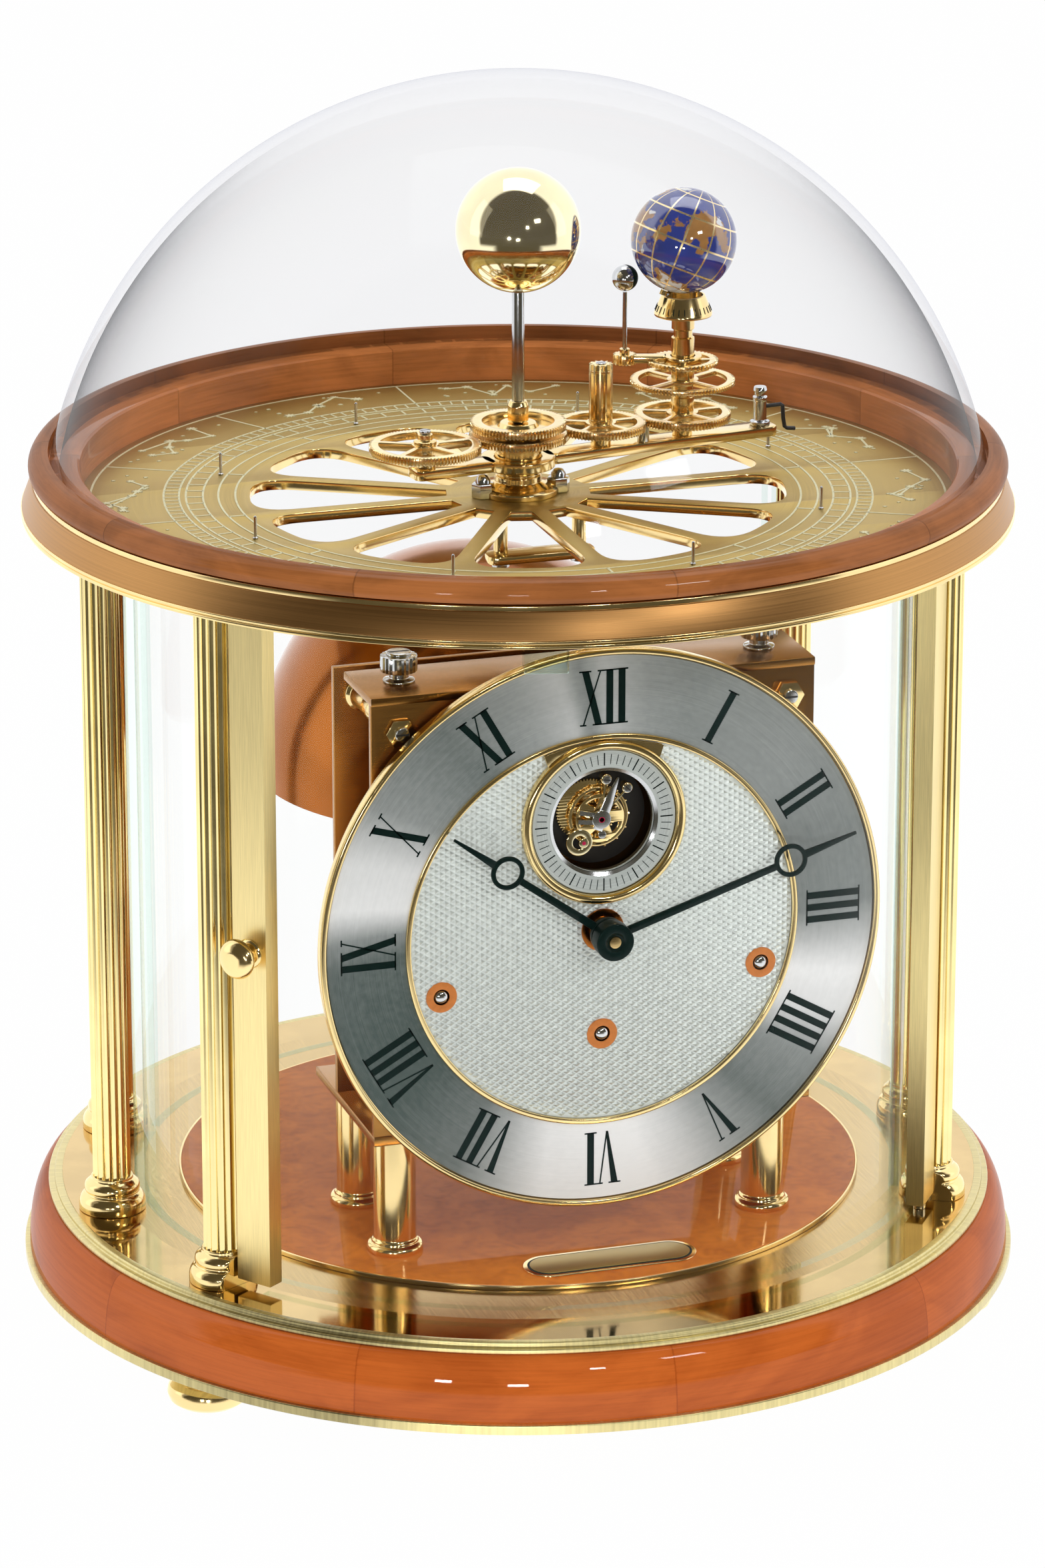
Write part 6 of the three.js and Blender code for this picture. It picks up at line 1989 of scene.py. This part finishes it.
def earth_carrier(low):
    place = on_arm(EARTH_REACH)
    sleeve = low + 31.9
    shape = add_wheel(Shape(), gear_outline(84, GEAR_MODULE), low, low + GEAR_THICKNESS, place,
                      "gear_brass", 5, 4.6, 11.9, 1.5)
    upper = low + 11.0
    wheel = [gear_outline(92, 0.33), *spoke_holes(4, 4.6, 13.3, 1.5, 20)]
    shape.raised(wheel, upper, upper + 1.4, 0.12, "gear_brass", place)
    stem = [(2.4, low), (3.4, low), (3.4, low + 7), (3.0, low + 7.2), (3.0, low + 9), (3.4, low + 9.2),
            (3.4, low + 16), (3.4, low + 20.5), (3.4, low + 25), (2.8, low + 25.4), (2.8, low + 27.4),
            (3.4, low + 27.8), (3.4, sleeve), (2.4, sleeve), (2.4, low)]
    shape.turn(stem, 36, "brass", place)
    top = levels("earth_carrier")[0] + 38.4
    cup = eased([(0, sleeve - 0.3), (4.2, sleeve - 0.3), (8.6, sleeve), (8.6, sleeve + 0.8),
                 (6.4, top - 0.4), (5.8, top - 0.4), (7.2, sleeve + 1.2), (0, sleeve + 1.2)], 0.2, 3)
    shape.turn(cup, 64, "brass", place)
    tick = rod([(0, -0.38, sleeve + 1.4), (0, 0.37, sleeve + 3.2)], 0.14, 6)
    shape.add(copies_round(tick, 30, 8.0, "ink"), "ink", place)
    shape.add(rod([(0, 0, -17.2), (0, 0, -15.7)], 1.1, 16), "brass", globe_place())
    for x in (-5.2, 5.2):
        shape.add(rod([(x, 0, sleeve + 1.0), (x * 0.98, 0, top + 0.2)], 0.5, 10), "nickel", place)
    shape.look("earth_carrier", "earth", "polished_brass")


def earth_globe():
    place = globe_place()
    shape = Shape().add(ball(15.6, 72), "globe_enamel", place)
    piece = shape.look("globe", "earth_globe", "globe_blue")
    map_globe(piece.data, place.inverted())


def map_globe(mesh, inverse):
    """Longitude and latitude of each corner, kept on one side of the seam within a face."""
    layer = mesh.uv_layers.new(name="globe")
    for face in mesh.polygons:
        spots = [inverse @ (mesh.vertices[mesh.loops[i].vertex_index].co / MM) for i in face.loop_indices]
        middle = sum(spots, Vector()) / len(spots)
        home = math.atan2(middle.y, middle.x)
        for i, spot in zip(face.loop_indices, spots):
            flat = math.hypot(spot.x, spot.y)
            turn = home if flat < 1e-3 else math.atan2(spot.y, spot.x)
            turn += math.tau * round((home - turn) / math.tau)
            layer.data[i].uv = (turn / math.tau + 0.5, math.atan2(spot.z, flat) / math.pi + 0.5)


def moon_and_arm():
    low, high = box_mm("moon_arm")
    middle = middle_mm("moon")
    axis = on_arm(EARTH_REACH).translation
    away = Vector((middle.x - axis.x, middle.y - axis.y))
    place = at(axis.x, axis.y) @ turned_by(math.degrees(math.atan2(away.y, away.x)))
    base = low.z
    reach = away.length
    shape = Shape().raised([gear_outline(48, 0.42), circle(3.7, 36), *spoke_holes(4, 5.4, 8.2, 1.6)], base,
                           base + 1.4, 0.1, "gear_brass", place)
    shape.ring(3.7, 5.6, base, base + 2.6, 0.2, 40, "brass", place)
    outline = eased(rectangle(5.0, -1.5, reach + 1.5, 1.5), 0.8, 3, closed=True)
    shape.raised([outline], base + 0.4, base + 2.6, 0.2, "brass", place)
    shape.raised([gear_outline(18, 0.34)], base, base + 3.0, 0.08, "gear_brass", place @ at(reach, 0))
    shape.disc(1.5, base + 2.4, base + 4.6, 0.2, 24, "brass", place @ at(reach, 0))
    shape.add(rod([(reach, 0, base + 2.5), (reach, 0, high.z)], 0.7, 14), "nickel", place)
    shape.look("moon_arm", "moon_carrier", "polished_brass")
    radius = box_mm("moon")[1].z - middle.z
    points, faces = ball(radius, 48)
    sunward = Vector((-middle.x, -middle.y, 0)).normalized()
    bright, dark = [], []
    for face in faces:
        centre = sum((Vector(points[i]) for i in face), Vector())
        (bright if centre.dot(sunward) > 0 else dark).append(face)
    shape = Shape().add((points, bright), "nickel", Matrix.Translation(middle))
    shape.add((points, dark), "ink", Matrix.Translation(middle)).look("moon", "moon_ball", "moon_grey")


class CLOCK_OT_earth(bpy.types.Operator):
    """Earth wheels, cup and globe, and the moon on its arm"""

    bl_idname = "clock.earth"
    bl_label = "Earth and moon"

    def execute(self, context):
        earth_carrier(gear_level())
        earth_globe()
        moon_and_arm()
        return {"FINISHED"}


FINISH_OF_SLOT = {
    "polished_brass": "brass", "brushed_brass": "stile_brass", "copper": "copper", "nickel": "nickel",
    "silvered": "chapter_silver", "cherry": "cherry", "burl": "burl", "glass": "glass",
    "hand_black": "hand_black", "globe_blue": "globe_enamel", "moon_grey": "nickel",
}


class CLOCK_OT_frame(bpy.types.Operator):
    """Makes the finishes and gives each node of the frame its own"""

    bl_idname = "clock.frame"
    bl_label = "Finishes"

    def execute(self, context):
        make_finishes()
        for row in frame["record"]["subparts"]:
            mesh = frame["nodes"][row["node"]].data
            finish = finish_named(FINISH_OF_SLOT[row["material_slot"]])
            if not mesh.materials:
                mesh.materials.append(finish)
            for i in range(len(mesh.materials)):
                mesh.materials[i] = finish
        return {"FINISHED"}


OPERATORS = (
    CLOCK_OT_frame, CLOCK_OT_base, CLOCK_OT_columns, CLOCK_OT_glass, CLOCK_OT_door, CLOCK_OT_top,
    CLOCK_OT_movement, CLOCK_OT_bell, CLOCK_OT_dial, CLOCK_OT_hands, CLOCK_OT_cage, CLOCK_OT_sun,
    CLOCK_OT_orbit, CLOCK_OT_earth, CLOCK_OT_stage,
)


class CLOCK_PT_panel(bpy.types.Panel):
    """Lists the steps that dress the clock"""

    bl_idname = "CLOCK_PT_panel"
    bl_label = "Tellurium clock"
    bl_space_type = "VIEW_3D"
    bl_region_type = "UI"
    bl_category = "Clock"

    def draw(self, context):
        for operator in OPERATORS:
            self.layout.operator(operator.bl_idname)
        for group in (context.scene.clock_colours, context.scene.clock_sizes, context.scene.clock_stage):
            box = self.layout.box()
            for name in group.__annotations__:
                box.prop(group, name)


GROUPS = {"clock_colours": ClockColours, "clock_sizes": ClockSizes, "clock_stage": ClockStage}


def register():
    for kind in (*GROUPS.values(), *OPERATORS, CLOCK_PT_panel):
        bpy.utils.register_class(kind)
    for name, group in GROUPS.items():
        setattr(bpy.types.Scene, name, bpy.props.PointerProperty(type=group))


def unregister():
    for name in GROUPS:
        delattr(bpy.types.Scene, name)
    for kind in (CLOCK_PT_panel, *reversed(OPERATORS), *GROUPS.values()):
        bpy.utils.unregister_class(kind)


def main():
    register()
    for operator in OPERATORS:
        group, name = operator.bl_idname.split(".")
        getattr(getattr(bpy.ops, group), name)()


if __name__ == "__main__":
    main()
